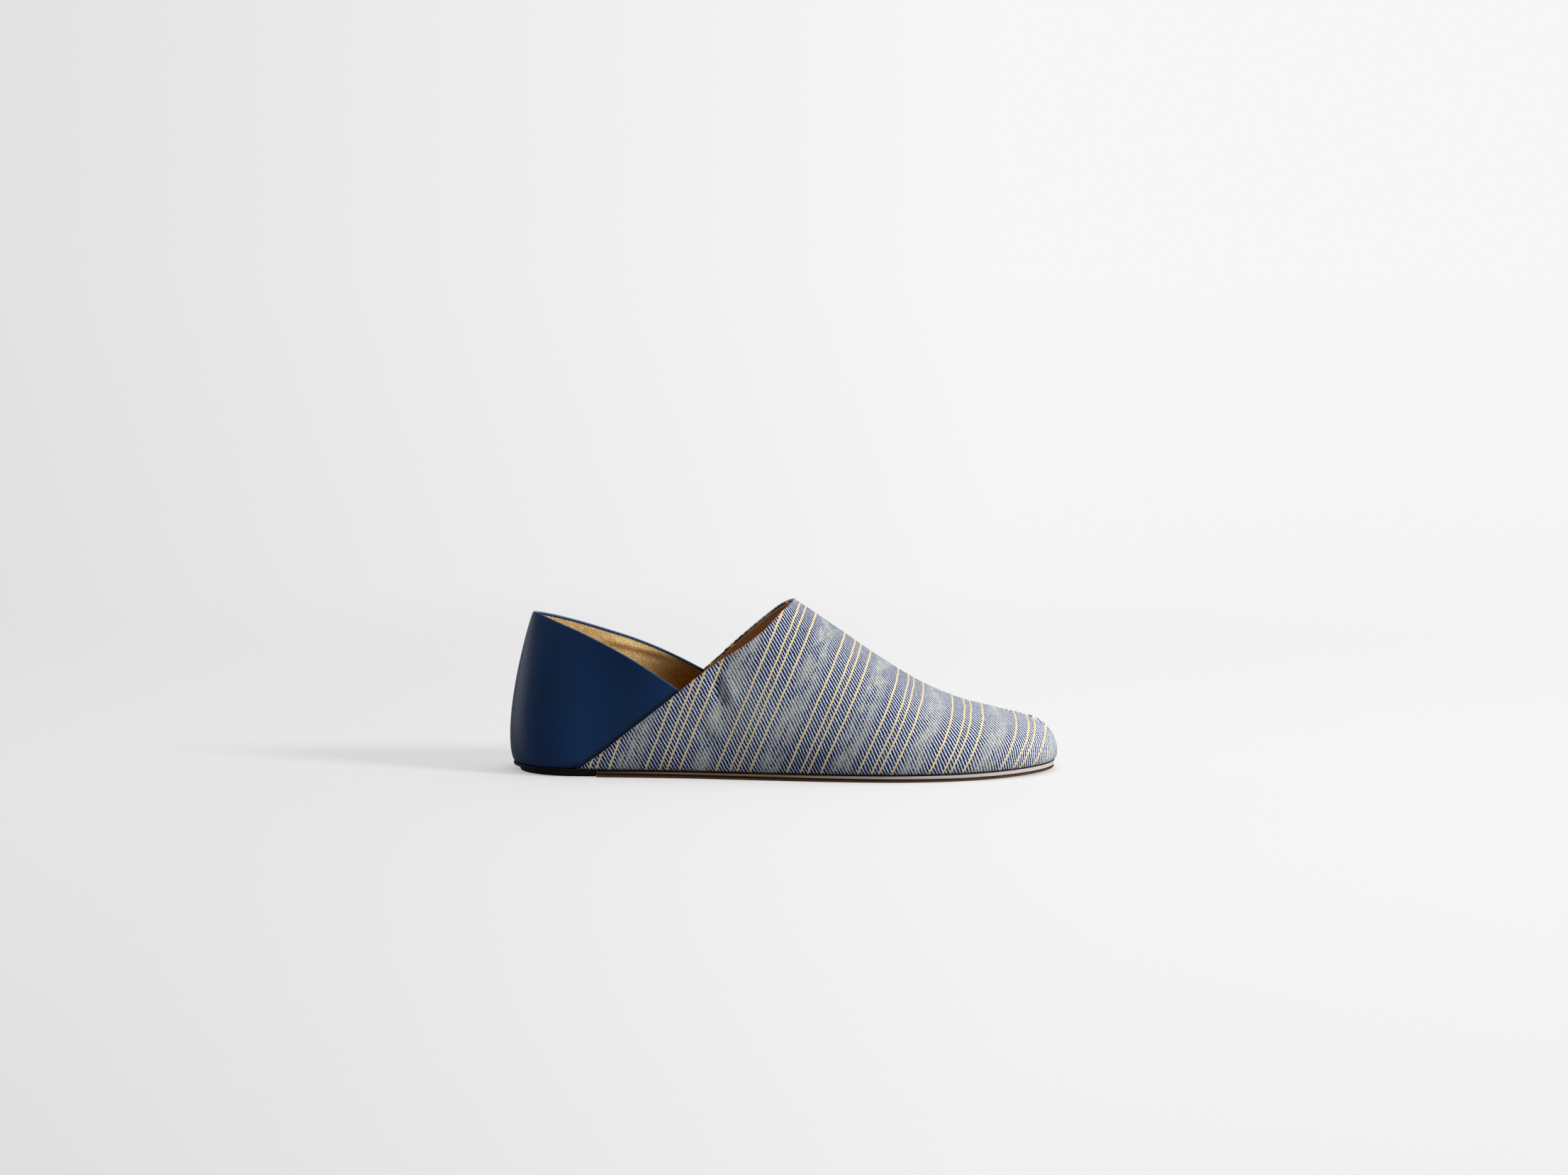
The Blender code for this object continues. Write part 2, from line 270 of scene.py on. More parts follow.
# Course of the cloth's stripes: lean is how far a stripe runs forward for each mm that it climbs, and
# bow how far it comes back where it crosses the ridge
STRIPE_COURSE = {
    "columns": ("x", "lean", "bow"),
    "rows": (
        (30.0, 0.36, 0.0),
        (65.0, 0.38, 0.0),
        (98.0, 0.42, 0.0),
        (131.0, 0.445, 0.5),
        (165.0, 0.49, 2.8),
        (200.0, 0.54, 6.3),
        (233.0, 0.64, 8.4),
        (260.0, 0.66, 8.6),
    ),
}
STRIPE_FOOT = 4.0
STRIPE_START = 98.6
STRIPE_SQUARE = 0.917
STRIPE_TRIES = 40
STRIPE_EASE = 0.4
# Turns between which the cloth is measured from the toe's middle line and no longer from the ridge
TOE_CLOTH_START = 2.35
TOE_CLOTH_FULL = 2.85
# One repeat of the warp, measured square to the stripes: place and width of each pale stripe
STRIPE_CHART = ((2.0, 0.78), (7.96, 0.72), (11.17, 0.72), (16.7, 0.78))
FADED_PLACE = 24.4
FADED_WIDTH = 8.0
# Angle from the line square to the stripes to the line square to the twill ribs
TWILL_TURN = np.radians(50)
# Distance between warp yarns, which cut the ribs into short steps
WARP_PITCH = 1.0

# Soft troughs of the suede lining, from one place to another seen from the side
LINING_CREASES = {
    "columns": ("side", "x", "z", "end_x", "end_z", "width", "depth", "ridge"),
    "rows": (
        (MEDIAL, 41.0, 58.0, 73.0, 48.5, 2.0, 0.5, 1.3),
        (MEDIAL, 62.0, 44.0, 86.0, 32.0, 4.5, 0.4, 0.7),
        (LATERAL, 22.0, 58.0, 58.0, 36.0, 4.0, 0.4, 0.6),
    ),
}

# Soft folds of the cloth, where the vamp gives as the foot slips in
CLOTH_CREASES = {
    "columns": ("side", "x", "z", "end_x", "end_z", "width", "depth", "ridge"),
    "rows": (
        (LATERAL, 97.5, 47.5, 103.5, 34.0, 2.4, 0.9, 0.85),
        (LATERAL, 90.0, 25.0, 99.0, 14.0, 3.0, 0.4, 0.35),
        (MEDIAL, 101.0, 46.0, 108.0, 32.0, 3.0, 0.6, 0.5),
    ),
}
# A crease is even along this share of its length and then fades. Its ridge lies this many widths beside it
CREASE_EVEN = 0.6
CREASE_FADE = 0.18
CREASE_RIDGE = 1.8
# Where light or shade is painted on the cloth, as more or less of the pale weft, seen from the side
CLOTH_LIGHT_AND_SHADE = {
    "columns": ("x", "z", "reach", "height", "amount"),
    "rows": (
        (262.0, 14.0, 20.0, 18.0, 0.55),
        (101.0, 41.0, 3.2, 7.0, -0.35),
        (95.5, 19.0, 3.5, 5.0, -0.25),
        (235.0, 28.0, 26.0, 12.0, 0.2),
        (148.0, 9.0, 24.0, 9.0, -0.45),
        (60.0, 6.0, 40.0, 9.0, -0.3),
        (110.0, 28.0, 17.0, 12.0, 0.35),
        (122.0, 32.0, 10.0, 9.0, 0.2),
        (136.0, 64.0, 18.0, 14.0, -0.2),
        (180.0, 30.0, 16.0, 14.0, -0.15),
        (109.5, 43.0, 9.0, 8.0, 0.4),
        (176.0, 16.0, 16.0, 8.0, 0.18),
        (197.0, 35.0, 14.0, 8.0, 0.25),
        (226.0, 29.0, 16.0, 7.0, 0.15),
    ),
}

# Steps of the meshes
QUARTER_STEPS = 120
WALL_STEPS = 48
LINING_STEPS = 56
BACK_STEPS = 20
WING_STEPS = 40
WAIST_STEPS = 46
FRONT_STEPS = 84
SOLE_STEPS = 150
EDGE_STEP = 0.35
EDGE_SAMPLES = 900
# Rows in which the cloth is measured, those of the waist and over the foot, first share and least rise
FIELD_STEPS = 70
FIELD_WAIST = FIELD_STEPS // 4
FIELD_LOW = FIELD_STEPS // 7
FIELD_FOOT = 0.003
FIELD_LEAST = 0.15
# Spacing of rows and columns, and small steps for slopes and searches
FOOT_CROWDING = 1.4
ROUND_STEPS = 12
SLOPE_STEP = 0.5
TURN_STEP = 0.001
RISE_STEP = 0.0005
BISECTIONS = 40
MEETING_PASSES = 3
MEETING_STEPS = 60

# Camera, in the slipper's own frame
CAMERA_AIM = (129.7, 0.0, 87.2)
CAMERA_DISTANCE = 1700.0
CAMERA_AZIMUTH = np.radians(1.5)
CAMERA_ELEVATION = np.radians(5.0)
CAMERA_LENS = 80.97
SENSOR_WIDTH = 36.0

# Floor, in metres: its radius, and from where to where it fades out
FLOOR_RADIUS = 1.2
FLOOR_FADE = (0.25, 1.1)
# How much light the floor gives back to the slipper and to the camera
FLOOR_BACK = 0.29
FLOOR_SEEN = 0.47
# Lights that aim at the middle of the slipper, with places and disc sizes in mm
LIGHTS = {
    "columns": ("name", "place", "size", "watts"),
    "rows": (
        ("key_light", (3000, -1150, 1550), 900, 92.0),
        ("top_light", (200, 250, 1700), 1300, 9.0),
        ("left_light", (-1500, 700, 350), 1000, 3.5),
    ),
}
# Brightness of the room, as the camera sees it and as it lights the slipper: the way in which it grows,
# its middle and its limits
ROOM_SEEN = {"way": (0.6, 0, 0), "middle": 0.91, "least": 0.75, "most": 0.93}
ROOM_LIGHT = {"way": (0.26, 0.06, 0.2), "middle": 0.31, "least": 0.06, "most": 1.2}
# How much darker the room is seen straight down
ROOM_DOWN = 0.25


def linear(code):
    """Linear colour of an sRGB hex code."""
    parts = np.array([int(code[i : i + 2], 16) for i in (1, 3, 5)]) / 255
    return tuple(np.where(parts <= 0.04045, parts / 12.92, ((parts + 0.055) / 1.055) ** 2.4))


def per_metre(size):
    """Scale, on coordinates in metres, of a pattern with details of a size in mm."""
    return 1 / (size * MM)


def ease(part):
    """Soft step from 0 to 1."""
    part = np.clip(part, 0, 1)
    return part**2 * (3 - 2 * part)


def run_length(points):
    """Distance along a row of points from its first one."""
    return np.concatenate([[0], np.cumsum(np.linalg.norm(np.diff(points, axis=0), axis=1))])


def read_along(places, known, values):
    """Columns of values, known at some places, at others."""
    return np.stack([np.interp(places, known, column) for column in values.T], -1)


def side_name(side):
    return "lateral" if side == LATERAL else "medial"


def unit(vectors):
    return vectors / np.maximum(np.linalg.norm(vectors, axis=-1, keepdims=True), 1e-9)


def read(table, column, x):
    """Value of one column of a table at x, on a smooth curve through its rows."""
    rows = np.array(table["rows"])
    places = rows[:, 0]
    values = rows[:, table["columns"].index(column)]
    slopes = np.gradient(values, places)
    x = np.clip(x, places[0], places[-1])
    i = np.clip(np.searchsorted(places, x) - 1, 0, len(places) - 2)
    span = places[i + 1] - places[i]
    t = (x - places[i]) / span
    ends = values[i] * (1 + 2 * t) * (1 - t) ** 2 + values[i + 1] * (3 - 2 * t) * t**2
    return ends + span * t * (1 - t) * (slopes[i] * (1 - t) - slopes[i + 1] * t)


def along(turn, start, end):
    """Place from start to end for a turn from 0 at the heel to pi at the toe, close-set at both."""
    return start + (end - start) * (1 - np.cos(turn)) / 2


def turn_at(place, start, end):
    return np.arccos(1 - 2 * (place - start) / (end - start))


def axis(x):
    """Sideways place of the foot's axis, which swings to the inner side towards the toe."""
    return TOE_SWING * np.clip((x - SWING_START) / (FOOT_LENGTH - SWING_START), 0, 1) ** 2


def plan_point(turn, side):
    """Point of the feather line. Past either end it carries on round to the other side."""
    x = along(turn, 0, FOOT_LENGTH)
    toe_start = FOOT_LENGTH - TOE_ROUND[side]
    heel_round = np.sqrt(1 - np.clip(1 - x / HEEL_ROUND, 0, 1) ** 2)
    toe_round = np.sqrt(1 - np.clip((x - toe_start) / TOE_ROUND[side], 0, 1) ** 2)
    breadth = read(HALF_BREADTHS, side_name(side), x) * heel_round * toe_round
    across = np.where((turn < 0) | (turn > np.pi), -side, side)
    return np.stack([x, axis(x) + across * breadth], -1)


def feather(turn, side, offset=0.0):
    """Feather line moved outwards by an offset, and its outward directions."""
    tangent = plan_point(turn + TURN_STEP, side) - plan_point(turn - TURN_STEP, side)
    outward = unit(side * np.stack([-tangent[..., 1], tangent[..., 0]], -1))
    return plan_point(turn, side) + offset * outward, outward


def ground(plan):
    """Height of the sole's underside over the floor."""
    x = plan[..., 0]
    inward = np.clip(0.5 + plan[..., 1] / ARCH_SPAN, 0, 1)
    height = ARCH_HEIGHT[LATERAL] + (ARCH_HEIGHT[MEDIAL] - ARCH_HEIGHT[LATERAL]) * inward
    arch = np.sin(np.pi * np.clip((x - ARCH_START) / (ARCH_END - ARCH_START), 0, 1)) ** 2
    spring = np.clip((x - SPRING_START) / (FOOT_LENGTH - SPRING_START), 0, 1) ** 2
    return height * arch + TOE_SPRING * spring


def crest_height(x):
    return read(CREST_HEIGHTS, "height", x)


def crest(turn):
    """Place, half breadth, height and slope of the line that the walls aim at."""
    x = along(turn, CREST_HEEL, CREST_TOE)
    back = np.maximum(x - CREST_HEEL, 0)
    front = np.maximum(CREST_JOIN - x, 0)
    fold = FOLD_SPREAD * np.sqrt(back * (back + 2 * FOLD_ROUND))
    join = JOIN_SPREAD * np.sqrt(front * (front + 2 * JOIN_ROUND))
    both = np.maximum((fold**JOIN_BLEND + join**JOIN_BLEND) ** (1 / JOIN_BLEND), 1e-9)
    slope = (crest_height(x + SLOPE_STEP) - crest_height(x - SLOPE_STEP)) / (2 * SLOPE_STEP)
    return x, fold * join / both, crest_height(x), slope


def wall(turn, side, rise):
    """Point of the upper's outside, for a rise from 0 at the feather line to 1 at the crest."""
    foot, outward = feather(turn, side)
    foot_height = ground(foot) + FEATHER_HEIGHT
    top_x, top_half, top_height, top_slope = crest(turn)
    top = np.stack([top_x, axis(top_x) + side * top_half], -1)
    dome = read(SECTIONS, "dome", foot[..., 0])
    swell = read(SECTIONS, side_name(side), foot[..., 0]) * SWELL_SCALE
    swell = swell * rise**SWELL_FOOT * (1 - rise) ** SWELL_HEAD
    swell = swell * (1 - HEEL_DRAWN * rise**2 * np.exp(-((foot[..., 0] / HEEL_DRAWN_REACH) ** 2)))
    inset = (1 - dome) * rise + dome * (1 - np.sqrt(1 - rise**2))
    plan = foot + (top - foot) * inset[..., None] + outward * swell[..., None]
    lean = top_slope * (top_x - foot[..., 0]) * (1 - inset) * rise
    height = foot_height + (top_height - foot_height) * rise - lean
    return np.concatenate([plan, height[..., None]], -1)


def wall_normal(turn, side, rise):
    """Outward direction of the wall, which never points far down at the foot."""
    fore = wall(np.minimum(turn + TURN_STEP, np.pi), side, rise)
    fore = fore - wall(np.maximum(turn - TURN_STEP, 0), side, rise)
    climb = wall(turn, side, np.minimum(rise + RISE_STEP, 1))
    climb = climb - wall(turn, side, np.maximum(rise - RISE_STEP, 0))
    normal = unit(-side * np.cross(fore, climb))
    normal[..., 2] = np.maximum(normal[..., 2], LEAST_DOWN)
    return unit(normal)


def topline(x, side):
    """Line of the vamp's rear edge, down from the throat."""
    sag = read(TOPLINE_SAG, side_name(side), x)
    return crest_height(THROAT) - TOPLINE_SLOPE[side] * (THROAT - x) - sag


def rim(x, side):
    """Bowed rim of the quarter, which runs on down under the vamp."""
    reach = np.clip((x - CREST_HEEL) / (NOTCH[side] - CREST_HEEL), 0, None)
    notch = crest_height(THROAT) - TOPLINE_SLOPE[side] * (THROAT - NOTCH[side])
    return RIM_TOP - (RIM_TOP - notch) * reach ** RIM_BOW[side] + read(RIM_LIFT, side_name(side), x)


def cut_rise(turn, side, line):
    """Rise at which the wall meets a line seen from the side, or 1 where it stays under the line."""
    low = np.zeros_like(turn)
    high = np.ones_like(turn)
    for _ in range(BISECTIONS):
        middle = (low + high) / 2
        point = wall(turn, side, middle)
        under = point[..., 2] < line(point[..., 0], side)
        low = np.where(under, middle, low)
        high = np.where(under, high, middle)
    return high


def throat_turn():
    return float(turn_at(THROAT, CREST_HEEL, CREST_TOE))


def vamp_tip_turn(side):
    """Turn at which the vamp's rear edge comes down to the feather line."""
    drop = crest_height(THROAT) - FEATHER_HEIGHT - VAMP_TIP_HEIGHT
    return float(turn_at(THROAT - drop / TOPLINE_SLOPE[side], 0, FOOT_LENGTH))


def meeting_turn(side, line):
    """Turn whose wall meets the rim and another line at the same height."""
    low = 0.0
    high = throat_turn()
    for _ in range(MEETING_PASSES):
        turns = np.linspace(low, high, MEETING_STEPS)
        past = cut_rise(turns, side, rim) <= cut_rise(turns, side, line)
        i = max(int(np.argmax(past)), 1)
        low, high = float(turns[i - 1]), float(turns[i])
    return high


def quarter_span(side, overlap):
    """Turns of a quarter panel, with its lower and upper rise, from the heel to its tip under the vamp."""

    def front_line(x, side):
        return topline(x - overlap, side)

    turns = np.linspace(0, meeting_turn(side, front_line), QUARTER_STEPS)
    upper = cut_rise(turns, side, rim)
    lower = np.minimum(cut_rise(turns, side, front_line), upper)
    front_foot = THROAT - (crest_height(THROAT) - FEATHER_HEIGHT) / TOPLINE_SLOPE[side]
    return turns, np.where(turns < turn_at(front_foot, 0, FOOT_LENGTH), 0, lower), upper


def vamp_span(side):
    """Turns of the vamp with its lower and upper rise, closer set towards the throat."""
    tip = vamp_tip_turn(side)
    notch = meeting_turn(side, topline)
    throat = throat_turn()
    wing = np.linspace(tip, notch, WING_STEPS, endpoint=False)
    waist = throat - (throat - notch) * np.linspace(1, 0, WAIST_STEPS, endpoint=False) ** 2
    turns = np.concatenate([wing, waist, np.linspace(throat, np.pi, FRONT_STEPS)])
    return turns, np.zeros_like(turns), cut_rise(turns, side, topline)


def climb_steps(count):
    """Shares of the way up a wall, closer set at the foot and at the top."""
    return np.sin(np.pi / 2 * np.linspace(0, 1, count) ** FOOT_CROWDING)


def shell_points(spans, profile, swell=None):
    """Points of both sides of a shell of the wall.

    A profile row is the share of the way up, the place outwards from the wall and a lift past the top.
    """
    share, outwards, lift = np.array(profile).T
    grids = {}
    for side in SIDES:
        turns, low, high = spans[side]
        rise = low[:, None] + (high - low)[:, None] * share[None, :]
        turn = turns[:, None] + 0 * rise
        point = wall(turn, side, rise)
        normal = wall_normal(turn, side, rise)
        grids[side] = [point, normal, turn, rise]
    zipped = np.logical_and.reduce(
        [(g[3] > 1 - 1e-9) | (g[2] <= 0) | (g[2] >= np.pi - 1e-9) for g in grids.values()]
    )
    mean_normal = unit(grids[LATERAL][1] + grids[MEDIAL][1])
    points = {}
    for side, (point, normal, turn, rise) in grids.items():
        normal = np.where(zipped[..., None], mean_normal, normal)
        edge = np.gradient(wall(turn[:, 0], side, spans[side][2]), axis=0)
        top = np.argmax(share)
        up = unit(side * np.cross(edge, normal[:, top]))
        tall = np.linalg.norm(point[:, top] - point[:, 0], axis=-1)
        scale = np.clip(tall / FULL_TALL, 0, 1)[:, None]
        out = outwards[None, :] * scale
        if swell is not None:
            out = out + swell(point, side, outwards) * scale
        moved = point + normal * out[..., None] + up[:, None, :] * (lift[None, :] * scale)[..., None]
        moved[..., 2] -= FIT_GAP * np.exp(-((moved[..., 2] - FEATHER_HEIGHT) / FIT_REACH) ** 2)
        points[side] = moved
    mean_point = (points[LATERAL] + points[MEDIAL]) / 2
    return {side: np.where(zipped[..., None], mean_point, points[side]) for side in SIDES}, zipped


def round_rows(outer, inner, top):
    """Profile rows of a round edge from an outer to an inner face, with its crown at top."""
    radius = (outer - inner) / 2
    return [
        (1, inner + radius * (1 + np.cos(angle)), top + radius * (np.sin(angle) - 1))
        for angle in np.linspace(0, np.pi, ROUND_STEPS + 1)
    ]


def wall_rows(outer, inner, top, outer_steps, inner_steps):
    """Closed profile of a panel: up its outer face, over a round edge and down its inner face."""
    lift = top - (outer - inner) / 2 - ROUND_ROOM
    rows = [(share, outer, lift * share) for share in climb_steps(outer_steps)]
    rows += round_rows(outer, inner, top)
    rows += [(share, inner, lift * share) for share in climb_steps(inner_steps)[::-1]]
    return rows + rows[:1]


def stripe_place(point, rise):
    """Place at the foot, in mm from the heel, of the stripe that runs through each point."""
    climb = np.maximum(point[..., 2] - STRIPE_FOOT, 0)
    inset = 1 - np.sqrt(1 - np.minimum(rise, 1) ** 2)
    # Levels out where the stripe comes to the ridge
    crossing = inset - inset**6 / 6
    place = point[..., 0] - read(STRIPE_COURSE, "lean", point[..., 0]) * climb
    for _ in range(STRIPE_TRIES):
        lean = read(STRIPE_COURSE, "lean", place) * climb
        bow = read(STRIPE_COURSE, "bow", place) * crossing
        place = (1 - STRIPE_EASE) * place + STRIPE_EASE * (point[..., 0] - lean + bow)
    return place


def cloth_directions(point, normal, place):
    """Gradient of the place across the stripes over a grid of points, and the way that the stripes run."""
    fore = np.gradient(point, axis=0)
    climb = np.gradient(point, axis=1)
    place_fore = np.gradient(place, axis=0)
    place_climb = np.gradient(place, axis=1)
    fore_square = (fore * fore).sum(-1)
    both = (fore * climb).sum(-1)
    climb_square = (climb * climb).sum(-1)
    gradient = (climb_square * place_fore - both * place_climb)[..., None] * fore
    gradient = gradient + (fore_square * place_climb - both * place_fore)[..., None] * climb
    gradient = STRIPE_SQUARE * gradient / (fore_square * climb_square - both**2)[..., None]
    return gradient, np.cross(normal, unit(gradient))


def steps_along(points, ways):
    """How far each step from one point to the next goes along the ways there."""
    return (np.diff(points, axis=0) * (ways[1:] + ways[:-1]) / 2).sum(-1)


def cloth_field(side, span):
    """Cloth coordinates over one side of the vamp, for each turn of its span.

    They are the rises, the places across and along the stripes in mm, and the cloth's two directions. The
    places along the stripes count from the ridge, in the wings from the waist, and at the toe from its
    middle line.
    """
    turns, _, high = span
    share = np.sin(np.pi / 2 * np.linspace(FIELD_FOOT, 1, FIELD_STEPS))
    rise = np.maximum(high, FIELD_LEAST)[:, None] * share[None, :]
    turn = turns[:, None] + 0 * rise
    normal = wall_normal(turn, side, rise)
    point = wall(turn, side, rise) + VAMP_FACE * normal
    place = stripe_place(point, rise)
    gradient, stripe = cloth_directions(point, normal, place)
    upwards = steps_along(point.swapaxes(0, 1), stripe.swapaxes(0, 1)).T
    climbed = np.concatenate([0 * upwards[:, :1], np.cumsum(upwards, axis=1)], axis=1)
    throat = int(np.argmax(turns >= throat_turn() - 1e-9))
    forwards = steps_along(point[:, FIELD_WAIST], stripe[:, FIELD_WAIST])
    at_waist = np.concatenate([[0], np.cumsum(forwards)])
    start = -climbed[:, -1]
    start_waist = start + climbed[:, FIELD_WAIST]
    wing = at_waist - at_waist[throat] + start_waist[throat] - climbed[:, FIELD_WAIST]
    start = np.where(turns < throat_turn(), wing, start)
    from_ridge = start[:, None] + climbed
    sideways = steps_along(point, stripe)
    from_middle = np.concatenate([-np.cumsum(sideways[::-1], axis=0)[::-1], 0 * sideways[:1]])
    from_middle = from_middle - from_middle[:, -1:]
    # The lowest rows, where the wall turns under, go on from the row above them
    foot = slice(0, FIELD_LOW)
    above = slice(FIELD_LOW, FIELD_LOW + 1)
    from_middle[:, foot] = from_middle[:, above] + climbed[:, foot] - climbed[:, above]
    toe = ease((turns - TOE_CLOTH_START) / (TOE_CLOTH_FULL - TOE_CLOTH_START))[:, None]
    lengthwise = from_ridge + (from_middle - from_ridge) * toe
    cloth = np.stack([STRIPE_SQUARE * (place - STRIPE_START), lengthwise], -1)
    return rise, cloth, gradient, stripe


def at_rises(wanted, rises, values):
    """Values of a field at other rises of each of its turns."""
    found = np.empty(wanted.shape + values.shape[-1:])
    for i, k in np.ndindex(len(wanted), values.shape[-1]):
        found[i, :, k] = np.interp(wanted[i], rises[i], values[i, :, k])
    return found


def cloth_map(side, span, share):
    """Cloth coordinates at the points of a shell's grid."""
    _, low, high = span
    rises, cloth, _, _ = cloth_field(side, span)
    return at_rises(low[:, None] + (high - low)[:, None] * share, rises, cloth)


def frame_shift():
    """Step in mm from the heel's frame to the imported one, from the rand's box, with room for the sole."""
    low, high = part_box("rand")
    edge, _ = feather(np.linspace(0, np.pi, SOLE_STEPS), LATERAL, RAND_OFFSET)
    return np.array([high.x / MM - FOOT_LENGTH - RAND_OFFSET, low.y / MM - edge[:, 1].min(), SOLE_DROP])


SHIFT = frame_shift()


def select_only(*pieces):
    bpy.ops.object.select_all(action="DESELECT")
    for piece in pieces:
        piece.select_set(True)
    bpy.context.view_layer.objects.active = pieces[0]


def add_sheet(points, flip=False, cloth=None, zipped=None, marks=None):
    """Grid primitive whose points take the given places, one row of them for each column of the grid.

    Faces with all their corners on the line where both sides meet would lie inside, and are left out.
    """
    columns, rows = points.shape[:2]
    bpy.ops.object.select_all(action="DESELECT")
    bpy.ops.mesh.primitive_grid_add(x_subdivisions=columns - 1, y_subdivisions=rows - 1)
    sheet = bpy.context.object
    data = sheet.data
    if len(data.vertices) != columns * rows:
        raise RuntimeError("the grid has another number of points than its places")
    places = (points.transpose(1, 0, 2) + SHIFT) * MM
    data.vertices.foreach_set("co", places.ravel())
    if cloth is not None:
        corners = np.empty(len(data.loops), np.int32)
        data.loops.foreach_get("vertex_index", corners)
        data.uv_layers[0].data.foreach_set("uv", cloth.transpose(1, 0, 2).reshape(-1, 2)[corners].ravel())
    for name, values in (marks or {}).items():
        layer = data.attributes.new(name, "FLOAT", "POINT")
        layer.data.foreach_set("value", (values + np.zeros((columns, rows))).T.ravel())
    if flip:
        bpy.ops.object.mode_set(mode="EDIT")
        bpy.ops.mesh.select_all(action="SELECT")
        bpy.ops.mesh.flip_normals()
        bpy.ops.object.mode_set(mode="OBJECT")
    if zipped is not None:
        inside = zipped[:-1, :-1] & zipped[1:, :-1] & zipped[:-1, 1:] & zipped[1:, 1:]
        bpy.ops.object.mode_set(mode="EDIT")
        bpy.ops.mesh.select_mode(type="FACE")
        bpy.ops.mesh.select_all(action="DESELECT")
        bpy.ops.object.mode_set(mode="OBJECT")
        data.polygons.foreach_set("select", inside.T.ravel())
        bpy.ops.object.mode_set(mode="EDIT")
        bpy.ops.mesh.delete(type="FACE")
        bpy.ops.object.mode_set(mode="OBJECT")
    return sheet


def open_edges(data):
    """Number of edges with one face only."""
    edges = np.empty(len(data.loops), np.int32)
    data.loops.foreach_get("edge_index", edges)
    return int((np.bincount(edges, minlength=len(data.edges)) == 1).sum())


def zip_sheets(name, sheets, map_name, smooth=40, weld=WELD):
    """Joins sheets to one closed piece along the lines where their points meet."""
    for sheet in sheets:
        sheet.data.uv_layers[0].name = map_name
    select_only(*sheets)
    if len(sheets) > 1:
        bpy.ops.object.join()
    piece = bpy.context.object
    bpy.ops.object.mode_set(mode="EDIT")
    bpy.ops.mesh.select_mode(type="VERT")
    bpy.ops.mesh.select_all(action="SELECT")
    bpy.ops.mesh.remove_doubles(threshold=weld * MM)
    bpy.ops.object.mode_set(mode="OBJECT")
    if open_edges(piece.data):
        bpy.ops.object.mode_set(mode="EDIT")
        bpy.ops.mesh.select_all(action="DESELECT")
        bpy.ops.mesh.select_non_manifold(
            use_wire=False, use_multi_face=False, use_non_contiguous=False, use_verts=False
        )
        bpy.ops.mesh.fill()
        bpy.ops.object.mode_set(mode="OBJECT")
    if open_edges(piece.data):
        raise RuntimeError(name + " has open edges")
    bpy.ops.object.shade_smooth_by_angle(angle=np.radians(smooth))
    piece.name = name
    piece.data.name = name
    return piece


def add_shell(name, spans, rows, map_name="panel", swell=None, cloth=None, marks=None):
    """Closed shell of both sides of the wall. Marks are made from the points, as attributes."""
    points, zipped = shell_points(spans, rows, swell)
    sheets = []
    for side in SIDES:
        mapped = cloth(side, spans[side], np.array(rows)[:, 0]) if cloth else None
        marked = marks(points[side], side) if marks else None
        sheets.append(add_sheet(points[side], side == MEDIAL, mapped, zipped, marked))
    return zip_sheets(name, sheets, map_name)


def dress(piece, material, slot, *nodes):
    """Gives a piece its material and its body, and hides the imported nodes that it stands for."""
    piece.data.materials.clear()
    piece.data.materials.append(material)
    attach(piece, BODY)
    if nodes:
        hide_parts(*nodes)


def add_node(tree, kind, settings=None, links=None, out=0):
    """Adds a node with its settings and links, and gives back one of its outputs."""
    node = tree.nodes.new("ShaderNode" + kind)
    for name, value in (settings or {}).items():
        if isinstance(name, int) or name in node.inputs:
            node.inputs[name].default_value = value
        else:
            setattr(node, name, value)
    for name, socket in (links or {}).items():
        tree.links.new(socket, node.inputs[name])
    return node.outputs[out]


def start_material(name):
    """New material, its shader and the function that adds nodes to it."""
    material = bpy.data.materials.new(name)
    material.use_nodes = True
    tree = material.node_tree
    return material, tree.nodes["Principled BSDF"], partial(add_node, tree)


def set_shader(shader, values, links):
    for name, value in values.items():
        shader.inputs[name].default_value = value
    for name, socket in links.items():
        shader.id_data.links.new(socket, shader.inputs[name])


def made(maker):
    """Material that a function makes, the same one each time."""
    return bpy.data.materials.get(maker.__name__) or maker()


def paint(colour, part=1.0):
    """Colour of a node's socket, made darker or brighter by a factor."""
    return (*(part * c for c in colour), 1)


def length_property(name, description, default):
    """Length that a user can change, with its default in mm."""
    return bpy.props.FloatProperty(
        name=name, description=description, default=default * MM,
        unit="LENGTH", subtype="DISTANCE", precision=4,
    )


def colour_property(name, description, code):
    """Colour that a user can change, with its default as an sRGB hex code."""
    return bpy.props.FloatVectorProperty(
        name=name, description=description, default=linear(code), subtype="COLOR"
    )


class SlipperSizes(bpy.types.PropertyGroup):
    """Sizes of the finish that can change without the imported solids."""

    rim_band: length_property("Rim band", "Navy leather turned over the rim to the inside", 1.4)
    cloth_band: length_property("Topline band", "Cloth turned over the topline to the inside", 0.3)
    stripe_repeat: length_property(
        "Stripe repeat", "Distance from one group of stripes to the next, square to them", 30.77
    )
    # The real ribs are about 1.27 mm apart, and are drawn a little coarser so that they show
    twill_pitch: length_property("Twill pitch", "Distance from one twill rib to the next", 1.5)
    stitch_pitch: length_property("Stitch pitch", "Distance from one rim stitch to the next", 2.7)
    thread: length_property("Thread", "Diameter of the rim's thread", 0.5)


